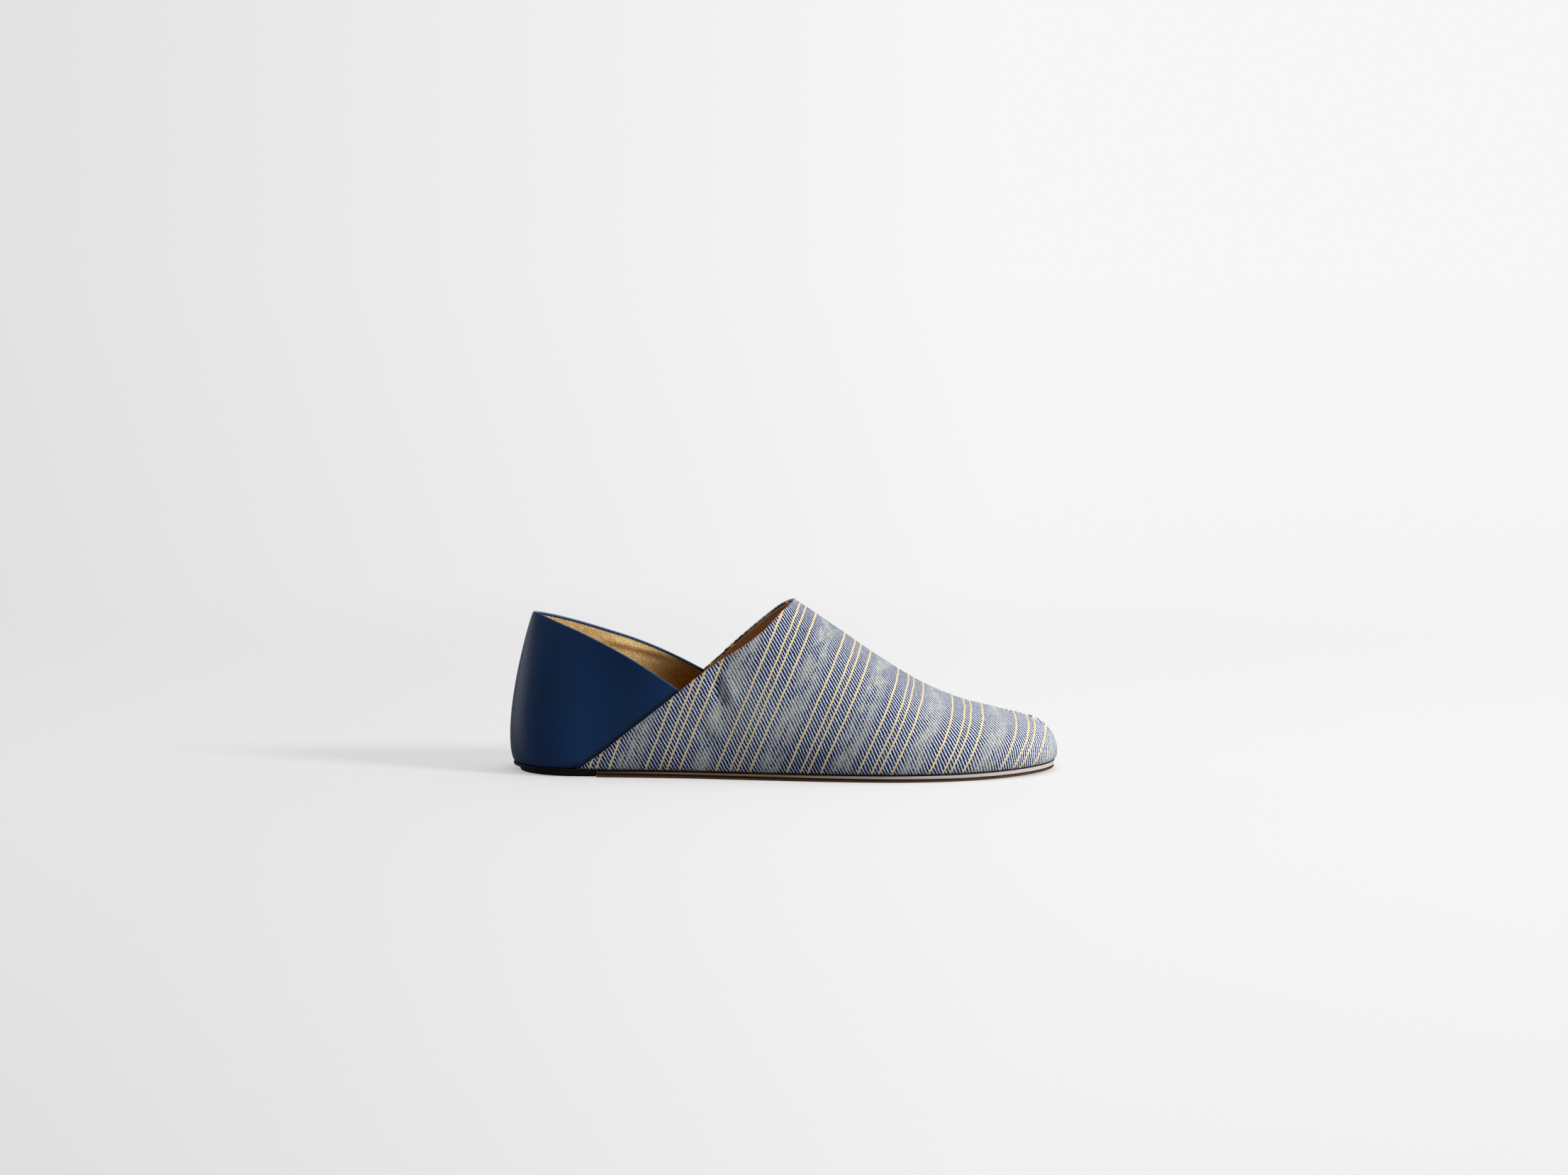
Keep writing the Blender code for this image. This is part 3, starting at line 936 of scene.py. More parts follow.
class SlipperColours(bpy.types.PropertyGroup):
    """Colours of the materials."""

    navy: colour_property("Navy", "Calf leather of the quarter", "#0A315D")
    # Colour of the highlight painted on the rim's fold
    rubbed: colour_property("Rubbed rim", "Crown of the rim, rubbed paler", "#9CA6B2")
    suede: colour_property("Suede", "Raised nap of the quarter's lining", "#FFE2A8")
    suede_shade: colour_property("Suede shade", "Roots of the lining's nap", "#CB9C4C")
    indigo: colour_property("Indigo", "Dark warp of the cloth", "#13204B")
    weft: colour_property("Weft", "Pale yarn of the twill ribs", "#EDF3FF")
    faded: colour_property("Faded warp", "Washed bands between the groups of stripes", "#8A8F8F")
    stripe: colour_property("Stripe", "Yellow warp stripes", "#FFE5A0")
    brown: colour_property("Brown", "Smooth lining of the vamp", "#B98252")
    black: colour_property("Black", "Dyed edge of the rand", "#141214")
    rubber: colour_property("Rubber", "Heel piece", "#1B1B1C")
    sole: colour_property("Sole", "Grain side of the outsole", "#74431B")
    sole_edge: colour_property("Sole edge", "Cut edge of the outsole", "#B98A58")
    # Colour of the cut edge painted lit round the toe
    sole_tip: colour_property("Sole tip", "Cut edge of the outsole round the toe", "#D6C9C4")
    thread: colour_property("Thread", "Thread of the rim", "#2C3B59")
    floor: colour_property("Floor", "Studio floor", "#ECECEC")


def sizes():
    return bpy.context.scene.slipper_sizes


def colours():
    return bpy.context.scene.slipper_colours


def navy_calf():
    """Finished calf: drum-dyed and plated, with a fine closed grain, faint draw lines and a soft gloss."""
    material, shader, add = start_material("navy_calf")
    place = add("TexCoord", out="Object")
    # Sizes in mm
    grain_width = 0.8
    pore = 0.6
    cloud_size = 30
    draw_length = 16
    draw_width = 1.7
    grain = add(
        "TexVoronoi", {"feature": "SMOOTH_F1", "Scale": per_metre(grain_width), "Smoothness": 0.6},
        {"Vector": place}, "Distance",
    )
    pores = add("TexNoise", {"Scale": per_metre(pore), "Detail": 3.0}, {"Vector": place}, "Fac")
    cloud = add("TexNoise", {"Scale": per_metre(cloud_size), "Detail": 2.0}, {"Vector": place}, "Fac")
    draw = (per_metre(draw_length), per_metre(draw_length), per_metre(draw_width))
    drawn = add("Mapping", {"Scale": draw}, {"Vector": place}, "Vector")
    lines = add("TexNoise", {"Scale": 1.0, "Detail": 2.0}, {"Vector": drawn}, "Fac")
    height = add("Math", {"operation": "MULTIPLY_ADD", 1: 0.5}, {0: pores, 2: grain})
    height = add("Math", {"operation": "MULTIPLY_ADD", 1: 0.5}, {0: lines, 2: height})
    bump = add("Bump", {"Strength": 0.7, "Distance": 0.0001}, {"Height": height}, "Normal")
    navy = colours().navy
    shade = add("Mix", {"data_type": "RGBA", 6: paint(navy, 0.82), 7: paint(navy, 1.2)}, {0: cloud}, 2)
    # Painted shade: darker where it goes under the vamp's edge. Painted highlight: paler on the rim's fold
    seam = add("Attribute", {"attribute_name": "seam"}, out="Fac")
    seam = add(
        "MapRange",
        {"interpolation_type": "SMOOTHSTEP", "From Min": -3.0, "From Max": -0.4,
         "To Min": 1.0, "To Max": 0.25},
        {"Value": seam}, "Result",
    )
    shade = add("Mix", {"data_type": "RGBA", "blend_type": "MULTIPLY", 0: 1.0}, {6: shade, 7: seam}, 2)
    # Painted highlight along the crown of the rim's fold
    crown = add("Attribute", {"attribute_name": "crown"}, out="Fac")
    rubbed = add("Math", {"operation": "MULTIPLY", 1: 0.7}, {0: crown})
    shade = add("Mix", {"data_type": "RGBA", 7: paint(colours().rubbed)}, {0: rubbed, 6: shade}, 2)
    gloss = add("MapRange", {"To Min": 0.34, "To Max": 0.46}, {"Value": pores}, "Result")
    set_shader(
        shader, {"IOR": 1.48, "Specular IOR Level": 0.3},
        {"Base Color": shade, "Roughness": gloss, "Normal": bump},
    )
    return material


def tan_suede():
    """Split leather buffed to a short nap: matt, mottled where the nap lies another way, pale overall."""
    material, shader, add = start_material("tan_suede")
    place = add("TexCoord", out="Object")
    # Sizes in mm
    nap_size = 0.6
    brushed_size = 4.5
    nap = add("TexNoise", {"Scale": per_metre(nap_size), "Detail": 4.0}, {"Vector": place}, "Fac")
    brushed = add(
        "TexNoise", {"Scale": per_metre(brushed_size), "Detail": 3.0, "Distortion": 0.6},
        {"Vector": place}, "Fac",
    )
    blend = add("Math", {"operation": "MULTIPLY_ADD", 1: 0.25}, {0: brushed, 2: nap})
    blend = add("MapRange", {"From Min": 0.4, "From Max": 0.74}, {"Value": blend}, "Result")
    shade = add(
        "Mix",
        {"data_type": "RGBA", 6: paint(colours().suede_shade), 7: paint(colours().suede)}, {0: blend}, 2,
    )
    # Painted shade, darkening the lining towards the front
    shaded = add("Attribute", {"attribute_name": "handled"}, out="Fac")
    shade = add(
        "Mix", {"data_type": "RGBA", "blend_type": "MULTIPLY", 7: paint(linear("#7F5C16"))},
        {0: shaded, 6: shade}, 2,
    )
    bump = add("Bump", {"Strength": 0.8, "Distance": 0.0005}, {"Height": blend}, "Normal")
    set_shader(
        shader,
        {"Roughness": 0.95, "Specular IOR Level": 0.15, "Sheen Weight": 0.25, "Sheen Roughness": 0.5,
         "Sheen Tint": paint(linear("#E8C898"))},
        {"Base Color": shade, "Normal": bump},
    )
    return material


def striped_twill():
    """Coarse indigo twill: pale weft on slanting ribs, yellow warp stripes, washed bands between."""
    material, shader, add = start_material("striped_twill")
    repeat = sizes().stripe_repeat / MM
    pitch = sizes().twill_pitch / MM
    cloth = add("UVMap", {"uv_map": "cloth"})
    # Sizes in mm on the cloth, which its map is measured in
    yarn_length = 2.6
    fibre_size = 0.55
    sway_length = 9.0
    streak = (1 / 0.9, 1 / 9.0, 1)
    patch = (1 / 5.0, 1 / 13.0, 1)
    uneven = add("TexNoise", {"Scale": 1 / yarn_length, "Detail": 3.0}, {"Vector": cloth}, "Fac")
    fibres = add("TexNoise", {"Scale": 1 / fibre_size, "Detail": 3.0}, {"Vector": cloth}, "Fac")
    # Slanting ribs of pale weft, as uneven as the yarn and cut into steps by the warp
    slant = (np.cos(TWILL_TURN) / pitch, np.sin(TWILL_TURN) / pitch, 0)
    rib = add("VectorMath", {"operation": "DOT_PRODUCT", 1: slant}, {0: cloth}, "Value")
    rib = add("Math", {"operation": "MULTIPLY_ADD", 1: 0.55}, {0: uneven, 2: rib})
    across = add("SeparateXYZ", {}, {0: cloth}, "X")
    step = add("Math", {"operation": "MULTIPLY", 1: 2 * np.pi / WARP_PITCH}, {0: across})
    step = add("Math", {"operation": "SINE"}, {0: step})
    rib = add("Math", {"operation": "MULTIPLY_ADD", 1: 0.035}, {0: step, 2: rib})
    rib = add("Math", {"operation": "MULTIPLY", 1: 2 * np.pi}, {0: rib})
    rib = add("Math", {"operation": "COSINE"}, {0: rib})
    # Painted light and shade: more pale weft shows where it is painted lit, less where painted shaded
    wear = add("Attribute", {"attribute_name": "wear"}, out="Fac")
    shown = add("Math", {"operation": "ADD"}, {0: rib, 1: wear})
    weft = add(
        "MapRange",
        {"interpolation_type": "SMOOTHSTEP", "From Min": 0.2, "From Max": 0.52}, {"Value": shown}, "Result",
    )
    floats = add(
        "MapRange", {"From Min": 0.32, "From Max": 0.52, "To Min": 0.55, "To Max": 1.0},
        {"Value": fibres}, "Result",
    )
    weft = add("Math", {"operation": "MULTIPLY"}, {0: weft, 1: floats})
    # Yellow stripes, which sway a little and step with the ribs
    sway = add("TexNoise", {"Scale": 1 / sway_length, "Detail": 1.0}, {"Vector": cloth}, "Fac")
    wavy = add("Math", {"operation": "MULTIPLY_ADD", 1: 0.08}, {0: rib, 2: across})
    wavy = add("Math", {"operation": "MULTIPLY_ADD", 1: 0.7}, {0: sway, 2: wavy})
    stripe = chart(add, wavy, STRIPE_CHART[0][0] - 0.35, stripe_stops(), repeat)
    # Washed bands with ragged sides, broken into patches
    streaks = add("Mapping", {"Scale": streak}, {"Vector": cloth}, "Vector")
    streaks = add("TexNoise", {"Scale": 1.0, "Detail": 2.0}, {"Vector": streaks}, "Fac")
    jagged = add("Math", {"operation": "MULTIPLY_ADD", 1: 5.0}, {0: streaks, 2: across})
    faded = chart(add, jagged, STRIPE_CHART[0][0] - 2.5, band_stops(), repeat)
    blotch = add("Mapping", {"Scale": patch}, {"Vector": cloth}, "Vector")
    blotch = add("TexNoise", {"Scale": 1.0, "Detail": 2.0}, {"Vector": blotch}, "Fac")
    patches = add("Math", {"operation": "MULTIPLY_ADD", 1: 0.7}, {0: streaks, 2: blotch})
    patches = add(
        "MapRange", {"From Min": 0.7, "From Max": 0.92, "To Min": 0.0, "To Max": 1.0},
        {"Value": patches}, "Result",
    )
    faded = add("Math", {"operation": "MULTIPLY"}, {0: faded, 1: patches})
    warp = add(
        "Mix",
        {"data_type": "RGBA", 6: paint(colours().indigo), 7: paint(colours().faded)}, {0: faded}, 2,
    )
    # Dye that took unevenly on the warp
    dye = add("Math", {"operation": "MULTIPLY_ADD", 1: 0.8}, {0: uneven, 2: fibres})
    dye = add(
        "MapRange", {"From Min": 0.65, "From Max": 1.2, "To Min": 0.35, "To Max": 2.1},
        {"Value": dye}, "Result",
    )
    warp = add("Mix", {"data_type": "RGBA", "blend_type": "MULTIPLY", 0: 1.0}, {6: warp, 7: dye}, 2)
    pale = add(
        "Mix",
        {"data_type": "RGBA", 6: paint(colours().weft), 7: paint(linear("#E4E6E3"))}, {0: faded}, 2,
    )
    woven = add("Mix", {"data_type": "RGBA"}, {0: weft, 6: warp, 7: pale}, 2)
    woven = add("Mix", {"data_type": "RGBA", 7: paint(colours().stripe)}, {0: stripe, 6: woven}, 2)
    height = add("Math", {"operation": "MULTIPLY_ADD", 1: 0.5}, {0: fibres, 2: weft})
    bump = add("Bump", {"Strength": 0.8, "Distance": 0.0003}, {"Height": height}, "Normal")
    set_shader(
        shader,
        {"Roughness": 0.9, "Specular IOR Level": 0.2, "Sheen Weight": 0.3, "Sheen Roughness": 0.35,
         "Sheen Tint": paint(linear("#E6E8F2"))},
        {"Base Color": woven, "Normal": bump},
    )
    return material


def stripe_stops():
    """Places and values that draw the pale stripes of one repeat."""
    soft = 0.12
    stops = [(0.0, 0.0)]
    for place, width in STRIPE_CHART:
        low = place - width / 2
        high = place + width / 2
        stops += [(low - soft, 0.0), (low + soft, 0.9), (high - soft, 0.9), (high + soft, 0.0)]
    return stops


def band_stops():
    """Places and values that draw the washed band of one repeat, soft at both sides."""
    low = FADED_PLACE - FADED_WIDTH / 2
    high = FADED_PLACE + FADED_WIDTH / 2
    soft = 1.6
    return [(0.0, 0.0), (low - soft, 0.0), (low + soft, 1.0), (high - soft, 1.0), (high + soft, 0.0)]


def chart(add, place, shift, stops, repeat):
    """Value that stops give over one repeat of the cloth, again and again across it."""
    place = add("Math", {"operation": "ADD", 1: shift}, {0: place})
    place = add("Math", {"operation": "DIVIDE", 1: repeat}, {0: place})
    place = add("Math", {"operation": "FRACT"}, {0: place})
    drawn = add("ValToRGB", {}, {"Fac": place}, "Color")
    ramp = drawn.node.color_ramp
    ramp.elements.remove(ramp.elements[1])
    for i, (at, value) in enumerate(stops):
        stop = ramp.elements[0] if i == 0 else ramp.elements.new(at / repeat)
        stop.position = at / repeat
        stop.color = (value, value, value, 1)
    return drawn


def smooth_leather(name, colour, roughness, pore, gloss_level=0.5):
    """Plain-finished leather: even colour with soft clouds, fine pores and a satin gloss."""
    material, shader, add = start_material(name)
    place = add("TexCoord", out="Object")
    # Sizes in mm
    cloud_size = 12
    pores = add("TexNoise", {"Scale": per_metre(pore), "Detail": 4.0}, {"Vector": place}, "Fac")
    cloud = add("TexNoise", {"Scale": per_metre(cloud_size), "Detail": 3.0}, {"Vector": place}, "Fac")
    shade = add(
        "Mix", {"data_type": "RGBA", 6: paint(colour, 0.72), 7: paint(colour, 1.28)}, {0: cloud}, 2
    )
    gloss = add(
        "MapRange", {"To Min": roughness - 0.08, "To Max": roughness + 0.08}, {"Value": pores}, "Result"
    )
    bump = add("Bump", {"Strength": 0.5, "Distance": 0.0001}, {"Height": pores}, "Normal")
    set_shader(
        shader, {"IOR": 1.48, "Specular IOR Level": gloss_level},
        {"Base Color": shade, "Roughness": gloss, "Normal": bump},
    )
    return material


def sole_bend():
    """Oak-bark tanned sole leather: pale fibrous cut edge, darker waxed grain side."""
    material, shader, add = start_material("sole_bend")
    place = add("TexCoord", out="Object")
    edge = add("Attribute", {"attribute_name": "cut"}, out="Fac")
    groove = add("Attribute", {"attribute_name": "groove"}, out="Fac")
    # Sizes in mm
    fibre_length = 4
    fibre_width = 0.3
    cloud_size = 9
    fibre = (per_metre(fibre_length), per_metre(fibre_length), per_metre(fibre_width))
    fibre = add("Mapping", {"Scale": fibre}, {"Vector": place}, "Vector")
    fibre = add("TexNoise", {"Scale": 1.0, "Detail": 4.0}, {"Vector": fibre}, "Fac")
    cloud = add("TexNoise", {"Scale": per_metre(cloud_size), "Detail": 4.0}, {"Vector": place}, "Fac")
    grain = add(
        "Mix",
        {"data_type": "RGBA", 6: paint(colours().sole, 0.6), 7: paint(colours().sole)},
        {0: cloud}, 2,
    )
    cut = add(
        "Mix",
        {"data_type": "RGBA", 6: paint(colours().sole_edge, 0.7), 7: paint(colours().sole_edge)},
        {0: fibre}, 2,
    )
    # Painted shade and light: the cut edge is painted shaded at the waist and pales, painted lit, to the
    # ball of the foot
    forward = add("SeparateXYZ", {}, {0: place}, "X")
    forward = add(
        "MapRange", {"interpolation_type": "SMOOTHSTEP", "From Min": -0.03, "From Max": 0.09},
        {"Value": forward}, "Result",
    )
    cut = add("Mix", {"data_type": "RGBA", 7: paint(colours().sole_tip)}, {0: forward, 6: cut}, 2)
    shade = add("Mix", {"data_type": "RGBA"}, {0: edge, 6: grain, 7: cut}, 2)
    # Painted shade: the groove takes the rand's black
    shade = add("Mix", {"data_type": "RGBA", 7: paint(colours().black)}, {0: groove, 6: shade}, 2)
    bump = add("Bump", {"Strength": 0.4, "Distance": 0.0001}, {"Height": fibre}, "Normal")
    set_shader(shader, {"Roughness": 0.55, "IOR": 1.48}, {"Base Color": shade, "Normal": bump})
    return material


def moulded_rubber():
    """Moulded rubber: dull black with a fine sandy skin."""
    material, shader, add = start_material("moulded_rubber")
    place = add("TexCoord", out="Object")
    # Sizes in mm
    grit = 0.5
    dust_size = 8
    skin = add("TexNoise", {"Scale": per_metre(grit), "Detail": 3.0}, {"Vector": place}, "Fac")
    dust = add("TexNoise", {"Scale": per_metre(dust_size), "Detail": 3.0}, {"Vector": place}, "Fac")
    shade = add(
        "Mix",
        {"data_type": "RGBA", 6: paint(colours().rubber), 7: paint(colours().rubber, 1.9)},
        {0: dust}, 2,
    )
    bump = add("Bump", {"Strength": 0.5, "Distance": 0.0001}, {"Height": skin}, "Normal")
    set_shader(shader, {"Roughness": 0.72, "IOR": 1.52}, {"Base Color": shade, "Normal": bump})
    return material


def bonded_thread():
    """Bonded nylon thread: two plies that shine a little, with a slight twist."""
    material, shader, add = start_material("bonded_thread")
    place = add("TexCoord", out="Object")
    # Sizes in mm
    ply_width = 0.4
    ply = add("TexNoise", {"Scale": per_metre(ply_width), "Detail": 1.0}, {"Vector": place}, "Fac")
    shade = add(
        "Mix",
        {"data_type": "RGBA", 6: paint(colours().thread, 0.55), 7: paint(colours().thread)},
        {0: ply}, 2,
    )
    bump = add("Bump", {"Strength": 0.5, "Distance": 0.0001}, {"Height": ply}, "Normal")
    set_shader(shader, {"Roughness": 0.45}, {"Base Color": shade, "Normal": bump})
    return material


def sole_points(turns, profile):
    """Points of both sides of a sole layer.

    A profile row is the share of the way out from the foot's axis, the place out from the feather line
    and the height over the underside, which may depend on the place along the foot.
    """
    points = {}
    for side in SIDES:
        rows = []
        for share, offset, level in profile:
            plan, _ = feather(turns, side, offset)
            other, _ = feather(turns, -side, offset)
            middle_x = (plan[:, 0] + other[:, 0]) / 2
            middle = np.stack([middle_x, axis(middle_x)], -1)
            plan = middle + (plan - middle) * share
            height = ground(plan) + level(plan[:, 0])
            rows.append(np.concatenate([plan, height[:, None]], -1))
        points[side] = np.stack(rows, 1)
    mean = (points[LATERAL] + points[MEDIAL]) / 2
    for side in SIDES:
        points[side] = np.where(((turns <= 0) | (turns >= np.pi))[:, None, None], mean, points[side])
    return points


def add_layer(name, turns, profile, edge_rows=(), groove_rows=()):
    """Closed sole layer, whose attributes tell its cut edge, with painted shade towards the heel piece, and
    its groove.
    """
    points = sole_points(turns, profile)
    marks = {mark: np.zeros((len(turns), len(profile))) for mark in ("cut", "groove")}
    forward = points[LATERAL][:, -1:, 0] - HEEL_PIECE_FRONT
    # The cut edge is painted in shade towards the heel piece
    marks["cut"][:, list(edge_rows)] = np.clip(forward / CUT_FADE, CUT_LEAST, 1)
    marks["groove"][:, list(groove_rows)] = 1
    sheets = [add_sheet(points[side], side == MEDIAL, marks=marks) for side in SIDES]
    return zip_sheets(name, sheets, "profile", smooth=50)


def rand_under(x):
    return SOLE_HEIGHT - read(RAND_THICKNESS, "depth", x)


def sole_top(x):
    return rand_under(x) - LAYER_GAP


def level_of(part, low, high):
    """Height that is a share of the way between two others."""
    return lambda x: low(x) + (high(x) - low(x)) * part


def flat(value):
    return lambda x: 0 * x + value


class SLIPPER_OT_sole(bpy.types.Operator):
    """Outsole, rubber heel piece and dark rand"""

    bl_idname = "slipper.make_sole"
    bl_label = "Sole layers"

    def execute(self, context):
        self.make_outsole()
        self.make_heel_piece()
        self.make_rand()
        return {"FINISHED"}

    def make_outsole(self):
        def groove(x):
            return read(GROOVE, "low", x)

        def groove_top(x):
            return read(GROOVE, "high", x)

        bottom = flat(-SOLE_DROP)
        breast = float(turn_at(HEEL_PIECE_FRONT + BREAST_GAP, 0, FOOT_LENGTH))
        turns = np.linspace(breast, np.pi, SOLE_STEPS)
        low_out = OUTSOLE_OFFSET - OUTSOLE_BEVEL
        profile = [(share, low_out, bottom) for share in (0, 0.3, 0.6, 0.85, 0.96, 1)]
        for angle in np.linspace(15, 75, 5):
            out = OUTSOLE_OFFSET - OUTSOLE_BEVEL * (1 - np.sin(np.radians(angle)))
            profile.append((1, out, level_of(0.8 - 0.8 * np.cos(np.radians(angle)), bottom, groove)))
        profile.append((1, OUTSOLE_OFFSET, groove))
        first = len(profile)
        for part in (0.08, 0.5, 0.92):
            profile.append((1, OUTSOLE_OFFSET - GROOVE_DEPTH, level_of(part, groove, groove_top)))
        edge = len(profile)
        for part, out in CUT_EDGE:
            profile.append((1, OUTSOLE_OFFSET + out, level_of(part, groove_top, sole_top)))
        last = len(profile)
        profile += [(share, OUTSOLE_OFFSET + CUT_EDGE[-1][1], sole_top) for share in (0.8, 0.5, 0)]
        piece = add_layer("outsole_leather", turns, profile, range(edge, last), range(first, edge))
        dress(piece, sole_bend(), "outsole_leather", "outsole")

    def make_heel_piece(self):
        front = float(turn_at(HEEL_PIECE_FRONT, 0, FOOT_LENGTH))
        turns = np.linspace(0, front, SOLE_STEPS // 2)
        bottom = flat(-SOLE_DROP)
        low_out = -HEEL_PIECE_INSET - HEEL_PIECE_BEVEL
        profile = [(share, low_out, bottom) for share in (0, 0.3, 0.6, 0.85, 0.97, 1)]
        for part in (0.12, 0.5, 0.9, 1):
            profile.append((1, low_out + HEEL_PIECE_BEVEL * part**0.8, level_of(part, bottom, sole_top)))
        profile += [(share, -HEEL_PIECE_INSET, sole_top) for share in (0.8, 0.4, 0)]
        piece = add_layer("heel_rubber", turns, profile)
        dress(piece, moulded_rubber(), "heel_rubber", "heel_piece")

    def make_rand(self):
        turns = np.linspace(0, np.pi, SOLE_STEPS)
        profile = [(share, RAND_OFFSET - RAND_ROUND, rand_under) for share in (0, 0.4, 0.8, 1)]
        for angle in np.linspace(-80, 80, 9):
            out = RAND_OFFSET - RAND_ROUND + RAND_ROUND * np.cos(np.radians(angle))
            part = 0.5 + 0.5 * np.sin(np.radians(angle))
            profile.append((1, out, level_of(part, rand_under, flat(SOLE_HEIGHT))))
        profile += [(share, RAND_OFFSET - RAND_ROUND, flat(SOLE_HEIGHT)) for share in (1, 0.8, 0.4, 0)]
        piece = add_layer("rand_edge", turns, profile)
        edge = smooth_leather("black_edge", colours().black, 0.5, 0.8, 0.12)
        dress(piece, edge, "rand_leather", "rand")


class SLIPPER_OT_insole(bpy.types.Operator):
    """Sock lining that the foot stands on, with a softly rounded edge"""

    bl_idname = "slipper.make_insole"
    bl_label = "Insole"

    def execute(self, context):
        turns = np.linspace(0, np.pi, SOLE_STEPS)
        top = FEATHER_HEIGHT + INSOLE_THICKNESS
        inset = -LINING_FACE
        profile = [(share, -inset, flat(FEATHER_HEIGHT - FIT_GAP)) for share in (0, 0.5, 1)]
        for angle in np.radians(np.linspace(0, 90, 6)):
            out = -inset - INSOLE_ROUND * (1 - np.cos(angle))
            profile.append((1, out, flat(top - INSOLE_ROUND * (1 - np.sin(angle)))))
        for share in np.linspace(0.95, 0, 9):
            profile.append((share, -inset - INSOLE_ROUND, flat(top - INSOLE_DISH * (1 - share**2))))
        piece = add_layer("insole_sock", turns, profile)
        dress(piece, made(tan_suede), "insole_leather", "insole")
        return {"FINISHED"}


class SLIPPER_OT_quarter(bpy.types.Operator):
    """Navy leather quarter, folded over its rim"""

    bl_idname = "slipper.make_quarter"
    bl_label = "Quarter"

    def execute(self, context):
        spans = {side: quarter_span(side, QUARTER_OVERLAP) for side in SIDES}
        band = -sizes().rim_band / MM
        cut = 0.1
        rows = [(share, 0, (RIM_FACE / 2 - ROUND_ROOM) * share) for share in climb_steps(WALL_STEPS)]
        rows += round_rows(0, RIM_FACE, 0)
        rows += [(1, RIM_FACE, band + cut), (1, RIM_FACE + cut, band), (1, QUARTER_BACK, band)]
        under = band - ROUND_ROOM
        rows += [(share, QUARTER_BACK, under * share) for share in climb_steps(BACK_STEPS)[::-1]]
        piece = add_shell("quarter_leather", spans, rows + rows[:1], marks=self.rim_marks)
        dress(piece, navy_calf(), "navy_leather", "upper")
        return {"FINISHED"}

    def rim_marks(self, point, side):
        return {"crown": self.crown(point, side), "seam": self.past_seam(point, side)}

    def crown(self, point, side):
        """Thin painted highlight on the fold of the rim, further in on the inner side of the foot."""
        angles = np.linspace(0, 180, ROUND_STEPS + 1)
        crown = np.zeros((1, point.shape[1]))
        fold = slice(WALL_STEPS, WALL_STEPS + ROUND_STEPS + 1)
        crown[0, fold] = np.exp(-(((angles - CROWN_ANGLE[side]) / CROWN_SPREAD) ** 2))
        return crown

    def past_seam(self, point, side):
        """Distance in mm past the vamp's rear edge, negative where the leather is in sight."""
        under = topline(point[..., 0], side) - point[..., 2]
        return np.clip(under / np.hypot(1, TOPLINE_SLOPE[side]), -SEAM_REACH, SEAM_REACH)


class SLIPPER_OT_lining(bpy.types.Operator):
    """Suede lining of the quarter and smooth lining of the vamp"""

    bl_idname = "slipper.make_linings"
    bl_label = "Linings"

    def execute(self, context):
        self.make_quarter_lining()
        self.make_vamp_lining()
        return {"FINISHED"}

    def make_quarter_lining(self):
        spans = {side: quarter_span(side, LINING_OVERLAP) for side in SIDES}
        band = -sizes().rim_band / MM
        rows = wall_rows(QUARTER_BACK - LAYER_GAP, LINING_FACE, band, BACK_STEPS, LINING_STEPS)
        piece = add_shell("quarter_lining", spans, rows, swell=lining_folds, marks=nap_marks)
        dress(piece, made(tan_suede), "insole_leather", "upper")

    def make_vamp_lining(self):
        spans = {side: vamp_span(side) for side in SIDES}
        rows = wall_rows(0.0, VAMP_LINING_FACE, VAMP_LINING_TOP, BACK_STEPS, WALL_STEPS // 2)
        piece = add_shell("vamp_lining", spans, rows)
        calf = smooth_leather("brown_lining_calf", colours().brown, 0.5, 0.7)
        dress(piece, calf, "insole_leather", "upper")


def lining_folds(point, side, outwards):
    return creases(LINING_CREASES, point, side) * (outwards < outwards.mean())


def nap_marks(point, side):
    """Painted shade that darkens the lining towards the front, where the foot goes in under the vamp."""
    start = LINING_SHADE_START + LINING_SHADE_LEAN * (point[..., 2] - LINING_SHADE_HEIGHT)
    return {"handled": ease((point[..., 0] - start) / LINING_SHADE_REACH)}


def cloth_folds(point, side, outwards):
    return -creases(CLOTH_CREASES, point, side) * (outwards > outwards.mean())


def cloth_wear(point):
    """Painted light and shade: how much more, or less, of the pale weft shows at each point."""
    amount = np.zeros(point.shape[:-1])
    for x, z, reach, height, share in CLOTH_LIGHT_AND_SHADE["rows"]:
        apart = ((point[..., 0] - x) / reach) ** 2 + ((point[..., 2] - z) / height) ** 2
        amount = amount + share * np.exp(-apart)
    return amount


def creases(table, point, side):
    """How far a face is pushed back by the soft troughs of a table, each with a ridge beside it."""
    push = np.zeros(point.shape[:-1])
    for of_side, x, z, end_x, end_z, width, depth, ridge in table["rows"]:
        if of_side != side:
            continue
        run = np.array([end_x - x, end_z - z])
        length = np.linalg.norm(run)
        run = run / length
        offset = np.stack([point[..., 0] - x, point[..., 2] - z], -1)
        way = offset @ run / length
        apart = offset @ np.array([-run[1], run[0]])
        taper = np.exp(-np.maximum(np.abs(way - 0.5) * 2 - CREASE_EVEN, 0) ** 2 / CREASE_FADE)
        trough = depth * np.exp(-((apart / width) ** 2))
        bulge = ridge * np.exp(-(((apart - CREASE_RIDGE * width) / width) ** 2))
        push = push + taper * (trough - bulge)
    return push


